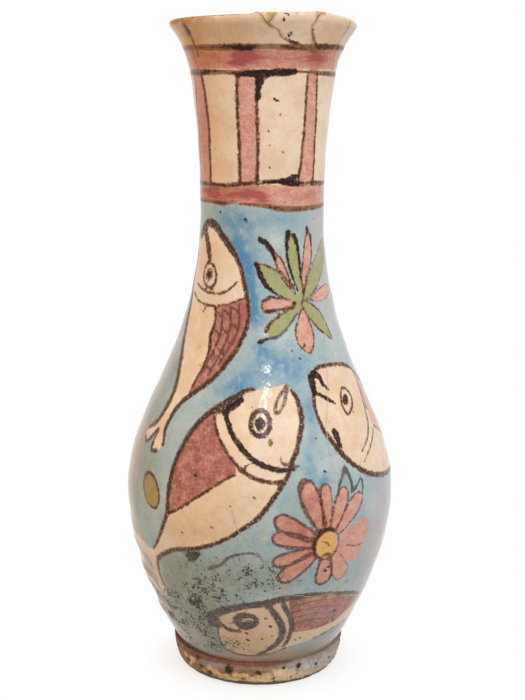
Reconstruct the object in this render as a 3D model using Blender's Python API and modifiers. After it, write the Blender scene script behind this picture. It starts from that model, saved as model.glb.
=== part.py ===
"""Painted earthenware vase: thrown in sections, joined with slip, later broken and glued.

Run it with blender --background --python part.py, or from the text editor.
Lengths are in metres. Angles are in degrees round the axis, from the front (-Y) towards +X.
The vase stands on Z = 0 and its axis is the Z axis.
"""

import math

import bmesh
import bpy
from mathutils import Vector

# Heights of the thrown sections, from the foot up
FOOT_HEIGHT = 0.013
BOWL_HEIGHT = 0.079
SHOULDER_HEIGHT = 0.127
NECK_HEIGHT = 0.057
MOUTH_HEIGHT = 0.024

# The foot ring: its hole, its flat sole, and how far its side swells out above the sole
FOOT_HOLE_RADIUS = 0.0280
SOLE_WIDTH = 0.0063
FOOT_SWELL = 0.0059

# The outer wall: radii, with slopes as radius gained per unit of height
FOOT_LEDGE = 0.0015
BOWL_START_SLOPE = 0.58
BELLY_RADIUS = 0.0620
BELLY_BELOW_JOINT = 0.005
SHOULDER_RADIUS = 0.0429
SHOULDER_SLOPE = -0.43
SHOULDER_ABOVE_JOINT = 0.053
WAIST_RADIUS = 0.0281
WAIST_BELOW_JOINT = 0.005
MOUTH_RADIUS = 0.0326
MOUTH_SLOPE = 0.15
LIP_RADIUS = 0.0418
LIP_SLOPE = 0.72

# The inside
WALL = 0.0050
FLOOR_THICKNESS = 0.0070
FLOOR_FILLET = 0.0100

# Joints between sections
LAP = 0.0040
SPIGOT = 0.0030
CLEARANCE = 0.0003

# Glued breaks
GLUE_GAP = 0.00035
FORK_OVERLAP = 0.00012
BLADE_INNER_RADIUS = 0.0150
BLADE_OVERSHOOT = 0.0080
BLADE_STEP = 0.0060

# Fineness of the faceted surface
SEGMENTS = 48
OUTER_STEP = 0.0090
INNER_STEP = 0.0160
MOUTH_STEP = 0.0050
ARC_STEPS = 4
SHARP_ANGLE = math.radians(35)

# Radii that follow from the foot ring
SOLE_RADIUS = FOOT_HOLE_RADIUS + SOLE_WIDTH
FOOT_RADIUS = SOLE_RADIUS + FOOT_SWELL
BOWL_START_RADIUS = FOOT_RADIUS - FOOT_LEDGE

# Heights that follow from the sections
BOWL_BASE = FOOT_HEIGHT
BELLY_JOINT = BOWL_BASE + BOWL_HEIGHT
NECK_JOINT = BELLY_JOINT + SHOULDER_HEIGHT
MOUTH_JOINT = NECK_JOINT + NECK_HEIGHT
TOP = MOUTH_JOINT + MOUTH_HEIGHT
LIP_ROUND = WALL / 2
LIP_BASE = TOP - LIP_ROUND
SPIGOT_BASE = FOOT_HEIGHT - SPIGOT
FLOOR_TOP = SPIGOT_BASE + FLOOR_THICKNESS

# Stations of the outer wall: height, radius, slope
STATIONS = (
    (BOWL_BASE, BOWL_START_RADIUS, BOWL_START_SLOPE),
    (BELLY_JOINT - BELLY_BELOW_JOINT, BELLY_RADIUS, 0.0),
    (BELLY_JOINT + SHOULDER_ABOVE_JOINT, SHOULDER_RADIUS, SHOULDER_SLOPE),
    (NECK_JOINT - WAIST_BELOW_JOINT, WAIST_RADIUS, 0.0),
    (MOUTH_JOINT, MOUTH_RADIUS, MOUTH_SLOPE),
    (LIP_BASE, LIP_RADIUS, LIP_SLOPE),
)

# Cracks of the mouth: angle, and height above the lip as a share of the mouth's height
RIM_END = 0.33
SEAM_END = -1.5
RIGHT_FORK = (62.5, -0.53)
SLANT_FORK = (40.0, -0.63)
FRONT_FILL_TIP = (2.5, -0.17)
RIGHT_FILL_TIP = (33.0, -0.10)
MOUTH_CRACKS = {
    "left": [(-56, RIM_END), (-57, -0.33), (-54, -0.44), (-59, -0.58), (-58, SEAM_END)],
    "right": [(66, RIM_END), (64, -0.23), RIGHT_FORK, (66, -0.75), (69, SEAM_END)],
    "back": [(178, RIM_END), (172, -0.50), (181, SEAM_END)],
    "slant": [
        (-6, RIM_END),
        (-2, -0.05),
        FRONT_FILL_TIP,
        (13.5, -0.42),
        (21, -0.52),
        (29, -0.55),
        SLANT_FORK,
        (52, -0.64),
        RIGHT_FORK,
    ],
    "second": [(33.5, RIM_END), RIGHT_FILL_TIP, (30.5, -0.23), (33.5, -0.38), SLANT_FORK],
    "front_fill": [(9, RIM_END), (6.5, -0.06), FRONT_FILL_TIP],
    "right_fill": [(40, RIM_END), (38, -0.06), RIGHT_FILL_TIP],
}

# Cracks of the body: angle, and height above the belly joint as a share of the section's height
SHOULDER_CRACK = [
    (31.5, -0.10),
    (33, 0.17),
    (34, 0.26),
    (44.5, 0.43),
    (46, 0.50),
    (60, 0.63),
    (88, 0.69),
    (118, 0.57),
    (128, -0.10),
]
BOWL_CRACK = [
    (-12.5, 0.10),
    (-9, -0.10),
    (-2, -0.23),
    (7.5, -0.42),
    (14, -0.51),
    (29, -0.56),
    (38, -0.54),
    (62, -0.46),
    (88, -0.25),
    (100, 0.10),
]

# A place inside each broken piece, in the same terms as its section's cracks
MOUTH_PIECES = {
    "mouth_front": (0, -0.75),
    "mouth_left": (-120, -0.50),
    "mouth_right": (120, -0.50),
    "mouth_wedge": (20, -0.30),
    "mouth_corner": (50, -0.33),
    "rim_fill_front": (2.3, -0.07),
    "rim_fill_right": (35, -0.065),
}
SHOULDER_PIECES = {"shoulder": (-90, 0.16), "shoulder_sherd": (80, 0.16)}
BOWL_PIECES = {"lower_body": (-90, -0.25), "lower_body_sherd": (40, -0.19)}

# A slanting line of sight, which tells inside from outside
SIGHT_LINE = Vector((0.31, 0.17, 0.93)).normalized()
SIGHT_STEP = 0.000001

# Collections
VASE = "Fish vase"
CUTTERS = "Cutters"

# Finish of each piece: colour, roughness
CREAM_GLAZE = ((0.75, 0.55, 0.36), 0.30)
BLUE_GLAZE = ((0.22, 0.40, 0.49), 0.25)
PINK_GLAZE = ((0.61, 0.22, 0.17), 0.30)
BARE_CLAY = ((0.58, 0.38, 0.19), 0.80)
YELLOW_FILLER = ((0.58, 0.37, 0.11), 0.60)
ORANGE_FILLER = ((0.62, 0.30, 0.10), 0.60)
FINISHES = {
    "foot_ring": BARE_CLAY,
    "lower_body": BLUE_GLAZE,
    "lower_body_sherd": BLUE_GLAZE,
    "shoulder": BLUE_GLAZE,
    "shoulder_sherd": CREAM_GLAZE,
    "neck": CREAM_GLAZE,
    "mouth_front": PINK_GLAZE,
    "mouth_left": CREAM_GLAZE,
    "mouth_right": CREAM_GLAZE,
    "mouth_wedge": CREAM_GLAZE,
    "mouth_corner": CREAM_GLAZE,
    "rim_fill_front": YELLOW_FILLER,
    "rim_fill_right": ORANGE_FILLER,
}


def clear_scene():
    """Remove every object of the scene."""
    for old in list(bpy.data.objects):
        bpy.data.objects.remove(old)


def add_collection(name, rendered):
    """Add a collection to the scene."""
    collection = bpy.data.collections.new(name)
    collection.hide_render = not rendered
    bpy.context.scene.collection.children.link(collection)


def add_object(name, mesh, collection):
    """Add an object for this mesh to a collection."""
    made = bpy.data.objects.new(name, mesh)
    bpy.data.collections[collection].objects.link(made)
    return made


def outer_radius(height):
    """Radius of the outer wall: a smooth curve through the stations."""
    pairs = list(zip(STATIONS, STATIONS[1:]))
    pair = next((p for p in pairs if height <= p[1][0]), pairs[-1])
    (low, low_radius, low_slope), (high, high_radius, high_slope) = pair
    span = high - low
    t = (height - low) / span
    rise = t * t * (3 - 2 * t)
    return (
        low_radius
        + (high_radius - low_radius) * rise
        + span * low_slope * t * (1 - t) ** 2
        - span * high_slope * t * t * (1 - t)
    )


def inner_radius(height):
    """Radius of the inside of the wall."""
    return outer_radius(height) - WALL


def spaced(start, end, step):
    """Values from start to end, no further apart than the step."""
    count = max(1, math.ceil(abs(end - start) / step))
    return [start + (end - start) * i / count for i in range(count + 1)]


def outer_side(top, bottom, step):
    """Points down the outer wall."""
    return [(outer_radius(z), z) for z in spaced(top, bottom, step)]


def inner_side(bottom, top, step):
    """Points up the inner wall."""
    return [(inner_radius(z), z) for z in spaced(bottom, top, step)]


def socket_end(joint):
    """Top of a section: a rebate on the inside that the next section drops into."""
    middle = outer_radius(joint) - WALL / 2
    return [(middle, joint - LAP), (middle, joint)]


def tongue_end(joint):
    """Bottom of a section: a tongue that sits in the rebate of the section below."""
    middle = outer_radius(joint) - WALL / 2 - CLEARANCE
    return [(middle, joint + CLEARANCE), (middle, joint - LAP + CLEARANCE)]


def arc(centre, size, start, end):
    """Points on an arc, with angles in degrees from the outward direction."""
    angles = [math.radians(a) for a in spaced(start, end, abs(end - start) / ARC_STEPS)]
    return [(centre[0] + size[0] * math.cos(a), centre[1] + size[1] * math.sin(a)) for a in angles]


def foot_profile():
    """The foot ring: a flat sole, a rounded outer edge and a flat seat for the bowl."""
    side = arc((SOLE_RADIUS, FOOT_HEIGHT), (FOOT_SWELL, FOOT_HEIGHT), 0, -90)
    return side + [(FOOT_HOLE_RADIUS, 0), (FOOT_HOLE_RADIUS, FOOT_HEIGHT)]


def bowl_profile():
    """The lower body, from the middle of its floor, up inside, over and down to its spigot."""
    base = BOWL_BASE + CLEARANCE
    spigot = FOOT_HOLE_RADIUS - CLEARANCE
    underside = [(spigot, base), (spigot, SPIGOT_BASE), (0, SPIGOT_BASE)]
    fillet_top = FLOOR_TOP + FLOOR_FILLET
    fillet_centre = (inner_radius(fillet_top) - FLOOR_FILLET, fillet_top)
    floor = [(0, FLOOR_TOP)] + arc(fillet_centre, (FLOOR_FILLET, FLOOR_FILLET), -90, 0)
    inside = inner_side(fillet_top, BELLY_JOINT - LAP, INNER_STEP)[1:]
    outside = outer_side(BELLY_JOINT, base, OUTER_STEP)
    return floor + inside + socket_end(BELLY_JOINT) + outside + underside


def section_profile(low_joint, high_joint):
    """A section with a tongue at its foot and a rebate at its top."""
    outside = outer_side(high_joint, low_joint + CLEARANCE, OUTER_STEP)
    inside = inner_side(low_joint - LAP + CLEARANCE, high_joint - LAP, INNER_STEP)
    return outside + tongue_end(low_joint) + inside + socket_end(high_joint)


def mouth_profile():
    """The flared mouth with a half-round lip."""
    outside = outer_side(LIP_BASE, MOUTH_JOINT + CLEARANCE, MOUTH_STEP)
    inside = inner_side(MOUTH_JOINT - LAP + CLEARANCE, LIP_BASE, MOUTH_STEP)
    lip = arc((LIP_RADIUS - LIP_ROUND, LIP_BASE), (LIP_ROUND, LIP_ROUND), 180, 0)
    return outside + tongue_end(MOUTH_JOINT) + inside + lip[1:-1]


def turned(name, profile, closed=True):
    """Turn a profile of (radius, height) points round the axis."""
    count = len(profile)
    edges = [(i, (i + 1) % count) for i in range(count if closed else count - 1)]
    mesh = bpy.data.meshes.new(name)
    mesh.from_pydata([(r, 0, z) for r, z in profile], edges, [])
    piece = add_object(name, mesh, VASE)
    screw = piece.modifiers.new("Turn", "SCREW")
    screw.steps = SEGMENTS
    screw.render_steps = SEGMENTS
    screw.use_merge_vertices = True
    screw.merge_threshold = 0.00001
    return piece


def wall_point(radius, angle, height):
    """A point at this radius, angle and height."""
    turn = math.radians(angle)
    return Vector((radius * math.sin(turn), -radius * math.cos(turn), height))


def drawn_past(path):
    """The path with its last stretch a little longer, so that a branch opens into its fork."""
    (angle, height), (end_angle, end_height) = path[-2:]
    turn, rise = end_angle - angle, end_height - height
    share = FORK_OVERLAP / math.hypot(math.radians(turn) * LIP_RADIUS, rise)
    return path[:-1] + [(end_angle + turn * share, end_height + rise * share)]


def blade(name, path, wall_radius):
    """A thin cutter that follows a crack: its line inside the hollow, drawn out in steps past the wall."""
    radii = spaced(BLADE_INNER_RADIUS, wall_radius + BLADE_OVERSHOOT, BLADE_STEP)
    sheet = bmesh.new()
    line = [sheet.verts.new(wall_point(radii[0], *point)) for point in drawn_past(path)]
    edges = [sheet.edges.new(pair) for pair in zip(line, line[1:])]
    for radius, next_radius in zip(radii, radii[1:]):
        drawn = bmesh.ops.extrude_edge_only(sheet, edges=edges)["geom"]
        edges = [item for item in drawn if isinstance(item, bmesh.types.BMEdge)]
        for vert in (item for item in drawn if isinstance(item, bmesh.types.BMVert)):
            vert.co.xy *= next_radius / radius
    bmesh.ops.recalc_face_normals(sheet, faces=sheet.faces)
    bmesh.ops.triangulate(sheet, faces=sheet.faces)
    mesh = bpy.data.meshes.new(name)
    sheet.to_mesh(mesh)
    sheet.free()
    cutter = add_object(name, mesh, CUTTERS)
    cutter.hide_render = True
    cutter.display_type = "WIRE"
    solid = cutter.modifiers.new("Glue gap", "SOLIDIFY")
    solid.thickness = GLUE_GAP
    solid.offset = 0
    return cutter


def holds(piece, point):
    """Whether the point lies inside: a line from it leaves the surface an odd number of times."""
    crossings = 0
    hit, place, _, _ = piece.ray_cast(point, SIGHT_LINE)
    while hit:
        crossings += 1
        hit, place, _, _ = piece.ray_cast(place + SIGHT_LINE * SIGHT_STEP, SIGHT_LINE)
    return crossings % 2 == 1


def make_mesh(piece):
    """Turn the piece's modifiers into a finished mesh, and leave it selected."""
    bpy.ops.object.select_all(action="DESELECT")
    piece.select_set(True)
    bpy.context.view_layer.objects.active = piece
    bpy.ops.object.convert(target="MESH")


def break_apart(section, cracks, places):
    """Cut a turned section along its cracks and name each piece by a place inside it."""
    for crack in cracks:
        cut = section.modifiers.new("Crack", "BOOLEAN")
        cut.operation = "DIFFERENCE"
        cut.object = crack
    make_mesh(section)
    bpy.ops.mesh.separate(type="LOOSE")
    pieces = list(bpy.context.selected_objects)
    if len(pieces) != len(places):
        raise RuntimeError(f"{section.name} broke into {len(pieces)} pieces, not {len(places)}")
    for name, place in places.items():
        found = next(piece for piece in pieces if holds(piece, place))
        found.name = name
        found.data.name = name


def broken_section(name, profile, cracks, pieces, level, height, closed=True):
    """Turn a section and break it. Shares of its height are counted from the level."""
    section = turned(name, profile, closed)
    widest = max(radius for radius, _ in profile)
    blades = []
    for crack, path in cracks.items():
        placed = [(angle, level + share * height) for angle, share in path]
        blades.append(blade(f"crack_{name}_{crack}", placed, widest))
    places = {}
    for piece, (angle, share) in pieces.items():
        place_height = level + share * height
        places[piece] = wall_point(outer_radius(place_height) - WALL / 2, angle, place_height)
    break_apart(section, blades, places)


def finish(piece):
    """Shade the piece smooth and give it a material of its own."""
    (colour, roughness) = FINISHES[piece.name]
    material = bpy.data.materials.new(f"{piece.name}_finish")
    material.use_nodes = True
    shader = material.node_tree.nodes["Principled BSDF"]
    shader.inputs["Base Color"].default_value = (*colour, 1)
    shader.inputs["Roughness"].default_value = roughness
    shader.inputs["Metallic"].default_value = 0
    piece.data.materials.clear()
    piece.data.materials.append(material)
    piece.data.shade_smooth()
    piece.data.set_sharp_from_angle(angle=SHARP_ANGLE)


def main():
    clear_scene()
    add_collection(VASE, rendered=True)
    add_collection(CUTTERS, rendered=False)
    make_mesh(turned("foot_ring", foot_profile()))
    make_mesh(turned("neck", section_profile(NECK_JOINT, MOUTH_JOINT)))
    broken_section(
        "bowl",
        bowl_profile(),
        {"slant": BOWL_CRACK},
        BOWL_PIECES,
        BELLY_JOINT,
        BOWL_HEIGHT,
        closed=False,
    )
    broken_section(
        "upper_body",
        section_profile(BELLY_JOINT, NECK_JOINT),
        {"upright": SHOULDER_CRACK},
        SHOULDER_PIECES,
        BELLY_JOINT,
        SHOULDER_HEIGHT,
    )
    broken_section("mouth", mouth_profile(), MOUTH_CRACKS, MOUTH_PIECES, TOP, MOUTH_HEIGHT)
    for piece in bpy.data.collections[VASE].objects:
        finish(piece)


main()
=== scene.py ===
"""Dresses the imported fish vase: painted glaze, glued breaks, a worn clay foot and a plain studio."""

import math
from collections import namedtuple

import bpy
import numpy as np
from bpy.props import FloatProperty, FloatVectorProperty, PointerProperty
from mathutils import Matrix, Vector
from mathutils.geometry import delaunay_2d_cdt


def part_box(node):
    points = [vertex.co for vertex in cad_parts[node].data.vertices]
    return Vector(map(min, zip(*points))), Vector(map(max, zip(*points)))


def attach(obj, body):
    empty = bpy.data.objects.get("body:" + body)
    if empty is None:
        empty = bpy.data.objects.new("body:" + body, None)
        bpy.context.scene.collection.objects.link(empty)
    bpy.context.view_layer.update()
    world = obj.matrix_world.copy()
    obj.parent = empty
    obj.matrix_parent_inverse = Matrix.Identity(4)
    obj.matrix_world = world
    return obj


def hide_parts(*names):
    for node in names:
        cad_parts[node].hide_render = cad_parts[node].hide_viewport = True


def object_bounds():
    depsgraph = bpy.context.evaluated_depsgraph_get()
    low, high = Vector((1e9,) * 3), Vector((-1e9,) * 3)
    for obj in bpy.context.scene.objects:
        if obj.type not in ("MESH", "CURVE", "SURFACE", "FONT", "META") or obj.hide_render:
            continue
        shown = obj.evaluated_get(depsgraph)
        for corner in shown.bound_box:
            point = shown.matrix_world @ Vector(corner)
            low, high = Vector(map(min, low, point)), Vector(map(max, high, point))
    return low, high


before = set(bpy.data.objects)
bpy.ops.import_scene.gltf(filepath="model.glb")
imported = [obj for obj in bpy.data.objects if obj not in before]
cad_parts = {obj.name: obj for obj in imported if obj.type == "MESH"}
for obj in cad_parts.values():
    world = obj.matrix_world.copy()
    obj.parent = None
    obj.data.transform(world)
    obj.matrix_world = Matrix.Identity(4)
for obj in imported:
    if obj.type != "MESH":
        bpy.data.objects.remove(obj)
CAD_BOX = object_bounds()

bl_info = {
    "name": "Fish vase",
    "version": (1, 0, 0),
    "blender": (4, 5, 0),
    "location": "View3D > Sidebar > Fish vase",
    "description": "Builds the painted walls, glued breaks, clay foot and studio of a mended fish vase",
    "category": "Object",
}

# Metres in a millimetre. Lengths below are in millimetres unless they say otherwise
MM = 0.001

# Heights of the joints and the top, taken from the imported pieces
FOOT_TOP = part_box("foot_ring")[1].z / MM
BELLY_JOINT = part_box("lower_body")[1].z / MM
NECK_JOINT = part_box("shoulder")[1].z / MM
MOUTH_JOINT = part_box("neck")[1].z / MM
TOP = CAD_BOX[1].z / MM

# The lip: its rounding, where it starts and ends on the flat wall, and its radius
LIP_ROUND = 2.5
LIP_BASE = TOP - LIP_ROUND
LIP_ARC = LIP_ROUND * math.pi / 2
LIP_CREST = LIP_BASE + LIP_ARC
LIP_RADIUS = 41.8
LIP_SQUARE = 0.45  # 1 is a half-round lip, less is squarer

# How much closer the rows of the mouth lie than elsewhere, and the step between its columns as a share
LIP_FINENESS = 1.4
LIP_STEP = 0.9

# The outer wall: height, radius, slope
STATIONS = np.array(
    [
        (FOOT_TOP, 38.7, 0.58),
        (87.0, 62.0, 0.0),
        (145.0, 42.9, -0.43),
        (214.0, 28.1, 0.0),
        (MOUTH_JOINT, 32.6, 0.15),
        (LIP_BASE, LIP_RADIUS, 0.72),
    ]
)

# The radius at which each section is laid flat
BOWL_SPREAD = 58.0
SHOULDER_SPREAD = 50.0
NECK_SPREAD = 33.0
MOUTH_SPREAD = 38.0

# The foot and the floor
SOLE_RADIUS = 34.3
FOOT_RADIUS = 40.2
FOOT_HOLE = 28.0
SPIGOT_RADIUS = 27.7
SPIGOT_BASE = 10.0
FLOOR_TOP = 17.0
FLOOR_FILLET = 10.0

# Levels of the flat bowl below the foot's top: its floor, up to the spigot's edge, then its step out to the wall
FLOOR_LEVELS = [0.0, 4.0, 8.0, 10.0, 11.0, 12.0]
SPIGOT_LEVELS = [0, 10, 11, FOOT_TOP]

# Waves of the hand-thrown wall: weight, turns round the vase, phase, and millimetres up the wall for one radian
WOBBLE_WAVES = ((1.0, 2, 1.3, 40), (0.7, 3, 0.0, -23), (0.5, 5, 2.0, 17), (0.5, 1, 0.0, 3.1))

# Where the glaze has flaked: angle and height, how far it reaches in degrees and millimetres, its depth, and its
# ripples: radians for one millimetre up the wall, and turns round the vase
FLAKED = (-72, 44)
FLAKE_REACH = (22, 26)
FLAKE_DEPTH = 1.6
FLAKE_RIPPLES = ((0.63, 9), (0.31, -14))

# Wear of the foot ring: depth in millimetres, turns round the vase, and radians for one millimetre of height
FOOT_WAVES = ((0.25, 9, 1), (0.2, 23, 2))

# The lip's height above the plane of the mouth, by angle. It steps up where a sherd was set high
RIM_HEIGHTS = [
    (-180, -0.8), (-120, -1.2), (-81, -1.25), (-56, -0.7), (-45, -0.45), (-18, 0.0), (-7, 0.3), (-5, 1.0), (5, 1.0),
    (22, 1.35), (36, 1.85), (48, 0.95), (58, 0.2), (81, -1.5), (120, -1.2),
]

# Where the unrolled wall is slit, at the back and clear of every crack
SLIT = -135.0

# Cracks: angle and height. The lip's crest ends a crack at the top, a joint ends it at the foot
FORK_RIGHT = (62.5, 287.3)
FORK_SLANT = (40.0, 284.9)
FILL_FRONT_TIP = (2.5, 295.9)
FILL_RIGHT_TIP = (33.0, 297.6)
MOUTH_CRACKS = [
    [(-56, LIP_CREST), (-56, 298), (-57, 292), (-54, 289.5), (-59, 286), (-58, MOUTH_JOINT)],
    [(65, LIP_CREST), (64.5, 298), (64, 294.5), FORK_RIGHT, (66, 282), (69, MOUTH_JOINT)],
    [(178, LIP_CREST), (172, 288), (181, MOUTH_JOINT)],
    [
        (-5.5, LIP_CREST), (-2, 298.8), FILL_FRONT_TIP, (7.5, 293.8), (13.5, 289.8), (21, 287.6), (29, 286.8),
        FORK_SLANT, (52, 284.6), FORK_RIGHT,
    ],
    [(33.5, LIP_CREST), FILL_RIGHT_TIP, (30.5, 294.6), (31, 293), (33.6, 290.8), FORK_SLANT],
    [(9, LIP_CREST), (6.5, 298.6), FILL_FRONT_TIP],
    [(40, LIP_CREST), (38, 298.6), FILL_RIGHT_TIP],
]
SHOULDER_CRACKS = [
    [
        (31.5, BELLY_JOINT), (32.5, 99), (33, 113.5), (34, 125), (44.5, 146.5), (46, 155.5), (60, 172), (88, 179.5),
        (118, 164), (127, BELLY_JOINT),
    ]
]
BOWL_CRACKS = [
    [
        (-11, BELLY_JOINT), (-9, 84), (-2, 73.8), (1.5, 70.2), (7.5, 59.2), (12.2, 55.5), (14, 51.8), (29, 48),
        (38, 49.2), (62, 55.7), (88, 72.3), (97, BELLY_JOINT),
    ]
]

# Steps along a crack, how far each strays, how far the worn glaze reaches beside it, and how deep the glue lies
CRACK_STEP = 1.4
CRACK_STRAY = 0.16
WEAR_REACH = 0.9
GLUE_SINK = 0.14

# A place inside each broken piece, and how far the mender set it proud of the wall
Sherd = namedtuple("Sherd", "angle height proud")
MOUTH_SHERDS = {
    "mouth_front": Sherd(0, 281, 0.0),
    "mouth_left": Sherd(-120, 288, 0.05),
    "mouth_right": Sherd(120, 288, 0.0),
    "mouth_wedge": Sherd(20, 292, 0.12),
    "mouth_corner": Sherd(50, 292, 0.03),
    "rim_fill_front": Sherd(2.3, 298.4, -0.08),
    "rim_fill_right": Sherd(35, 299.2, -0.08),
}
SHOULDER_SHERDS = {"shoulder": Sherd(-90, 112, 0.0), "shoulder_sherd": Sherd(80, 112, 0.03)}
BOWL_SHERDS = {"lower_body": Sherd(-90, 72, 0.0), "lower_body_sherd": Sherd(40, 77, 0.04)}
NECK_SHERDS = {"neck": Sherd(0, (NECK_JOINT + MOUTH_JOINT) / 2, 0.0)}

# Each piece's slot: the name of its glaze
BODY_SLOT = "body_glaze"
CREAM_SLOT = "cream_glaze"

# The map that colours are baked to, the part of its height for each skin of a wall, and the angle of a sharp edge
BAKE_MAP = "OFBake"
OUTER_MAP = (0.27, 1.0)
INNER_MAP = (0.0, 0.24)
EDGE_MAP = (0.245, 0.262)
SHARP = math.radians(40)

# Paint: each brush line or patch goes to a layer. Depths count to FAR, and paths are drawn in steps, in millimetres
Mark = namedtuple("Mark", "kind layer path width")
SOLID_LAYERS = ("cream", "pink", "mauve", "shade", "green", "yellow", "olive", "brown", "slate", "ink", "black")
WASH_LAYERS = ("crimson", "blue", "grey", "pale", "lilac", "loss", "yellowed", "pitted")
FOOT_LAYERS = ("pink", "shade", "yellow", "ink", "black", "lilac")
FAR = 9.0
PATH_STEP = 1.0

# The net of a wall, as shares of its fineness: gaps between drawn points, to a crack, and from the net to both
DRAWN_GAP = 0.35
CRACK_GAP = 0.4
NET_GAP = 0.5

# Points measured at once, and how far up or down the wall they look for others, in millimetres
BATCH = 2000
NEARBY = 3.0

# Points this close to the slit lie on it, and no map is narrower than this, in millimetres
TOUCHING = 1e-3
SMALLEST = 1e-6

# Shine of the glaze, bump of clay, of glaze and of filler, and its depth in metres
GLAZE_SHINE = 0.17
CLAY_BUMP = 0.5
GLAZE_BUMP = 0.35
FILLER_BUMP = 0.4
BUMP_DEPTH = 0.0004
FILLER_DEPTH = 0.0003

# How pitted each glaze is at least, how much glue it soaked up, and the glue's name, colour and stain
PITTED = {BODY_SLOT: 0.02, CREAM_SLOT: 0.0}
SOAKED = {BODY_SLOT: 0.1, CREAM_SLOT: 0.8}
GLUES = {BODY_SLOT: ("pale_glue", "pale_glue", "grey"), CREAM_SLOT: ("aged_glue", "glue", "brown")}

# How soiled the clay is in the breaks and on the foot
BREAK_SOIL = 0.35
FOOT_SOIL = 0.3

# Heights in metres where the pink turns from brushed to streaked by the wheel, and how much flatter streaks are
STREAKED = (0.212, 0.218)
STREAKS = (1.0, 1.0, 5.0)

# Lamps: place and size in metres, tint, and whether the glaze mirrors it. All look at the middle of the vase
Lamp = namedtuple("Lamp", "place size tint mirrored")
LAMPS = {
    "key": Lamp((0.695, -0.695, 0.84), (0.7, 0.7), (0.76, 0.89, 1.0), False),
    "side": Lamp((-1.0, -0.58, 0.46), (0.7, 0.7), (1.0, 0.70, 0.40), False),
    "edge": Lamp((-0.95, 0.30, 0.35), (0.5, 0.8), (1.0, 0.55, 0.28), False),
    "glint": Lamp((0.09, -0.79, 0.64), (0.09, 0.05), (1.0, 1.0, 1.0), True),
    "window": Lamp((0.38, -0.70, 0.60), (0.30, 0.25), (0.9, 0.95, 1.0), True),
}
MIDDLE = Vector((0, 0, 0.15))

# Height of the camera's sensor
SENSOR = 36.0

# Half the floor's side, and the radii where the shadow of the foot starts to fade and ends, in metres
FLOOR_REACH = 3.0
SHADOW = (0.034, 0.058)

# The light from all round, and what is seen in its place
SKY_TINT = (1.0, 0.86, 0.69)
WHITE = (1.0, 1.0, 1.0)


def srgb(red, green, blue):
    """A colour as it looks on a screen, 0 to 255, in Blender's linear terms."""
    return tuple(((c / 255 + 0.055) / 1.055) ** 2.4 if c > 10 else c / 255 / 12.92 for c in (red, green, blue))


def length(name, description, default):
    """A property that holds a length in metres."""
    return FloatProperty(name=name, description=description, default=default, unit="LENGTH", precision=5)


def angle(name, description, degrees):
    """A property that holds an angle."""
    return FloatProperty(name=name, description=description, default=math.radians(degrees), subtype="ANGLE")


def power(name, description, default):
    """A property that holds the power of a lamp."""
    return FloatProperty(name=name, description=description, default=default, unit="POWER")


def colour(name, description, *default):
    """A property that holds a colour."""
    return FloatVectorProperty(
        name=name, description=description, default=srgb(*default), subtype="COLOR", size=3, min=0, max=1
    )


class VaseShape(bpy.types.PropertyGroup):
    """Sizes of the vase's walls."""

    wall: length("Wall", "Thickness of the wall", 0.005)
    fineness: length("Fineness", "Distance between points of the wall", 0.0013)
    crack_width: length("Crack width", "Width of a glued crack", 0.0003)
    crack_wear: length("Crack wear", "How deep the glaze is worn along a crack", 0.00016)
    wobble: length("Wobble", "How far the thrown wall strays from round", 0.0002)


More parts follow.
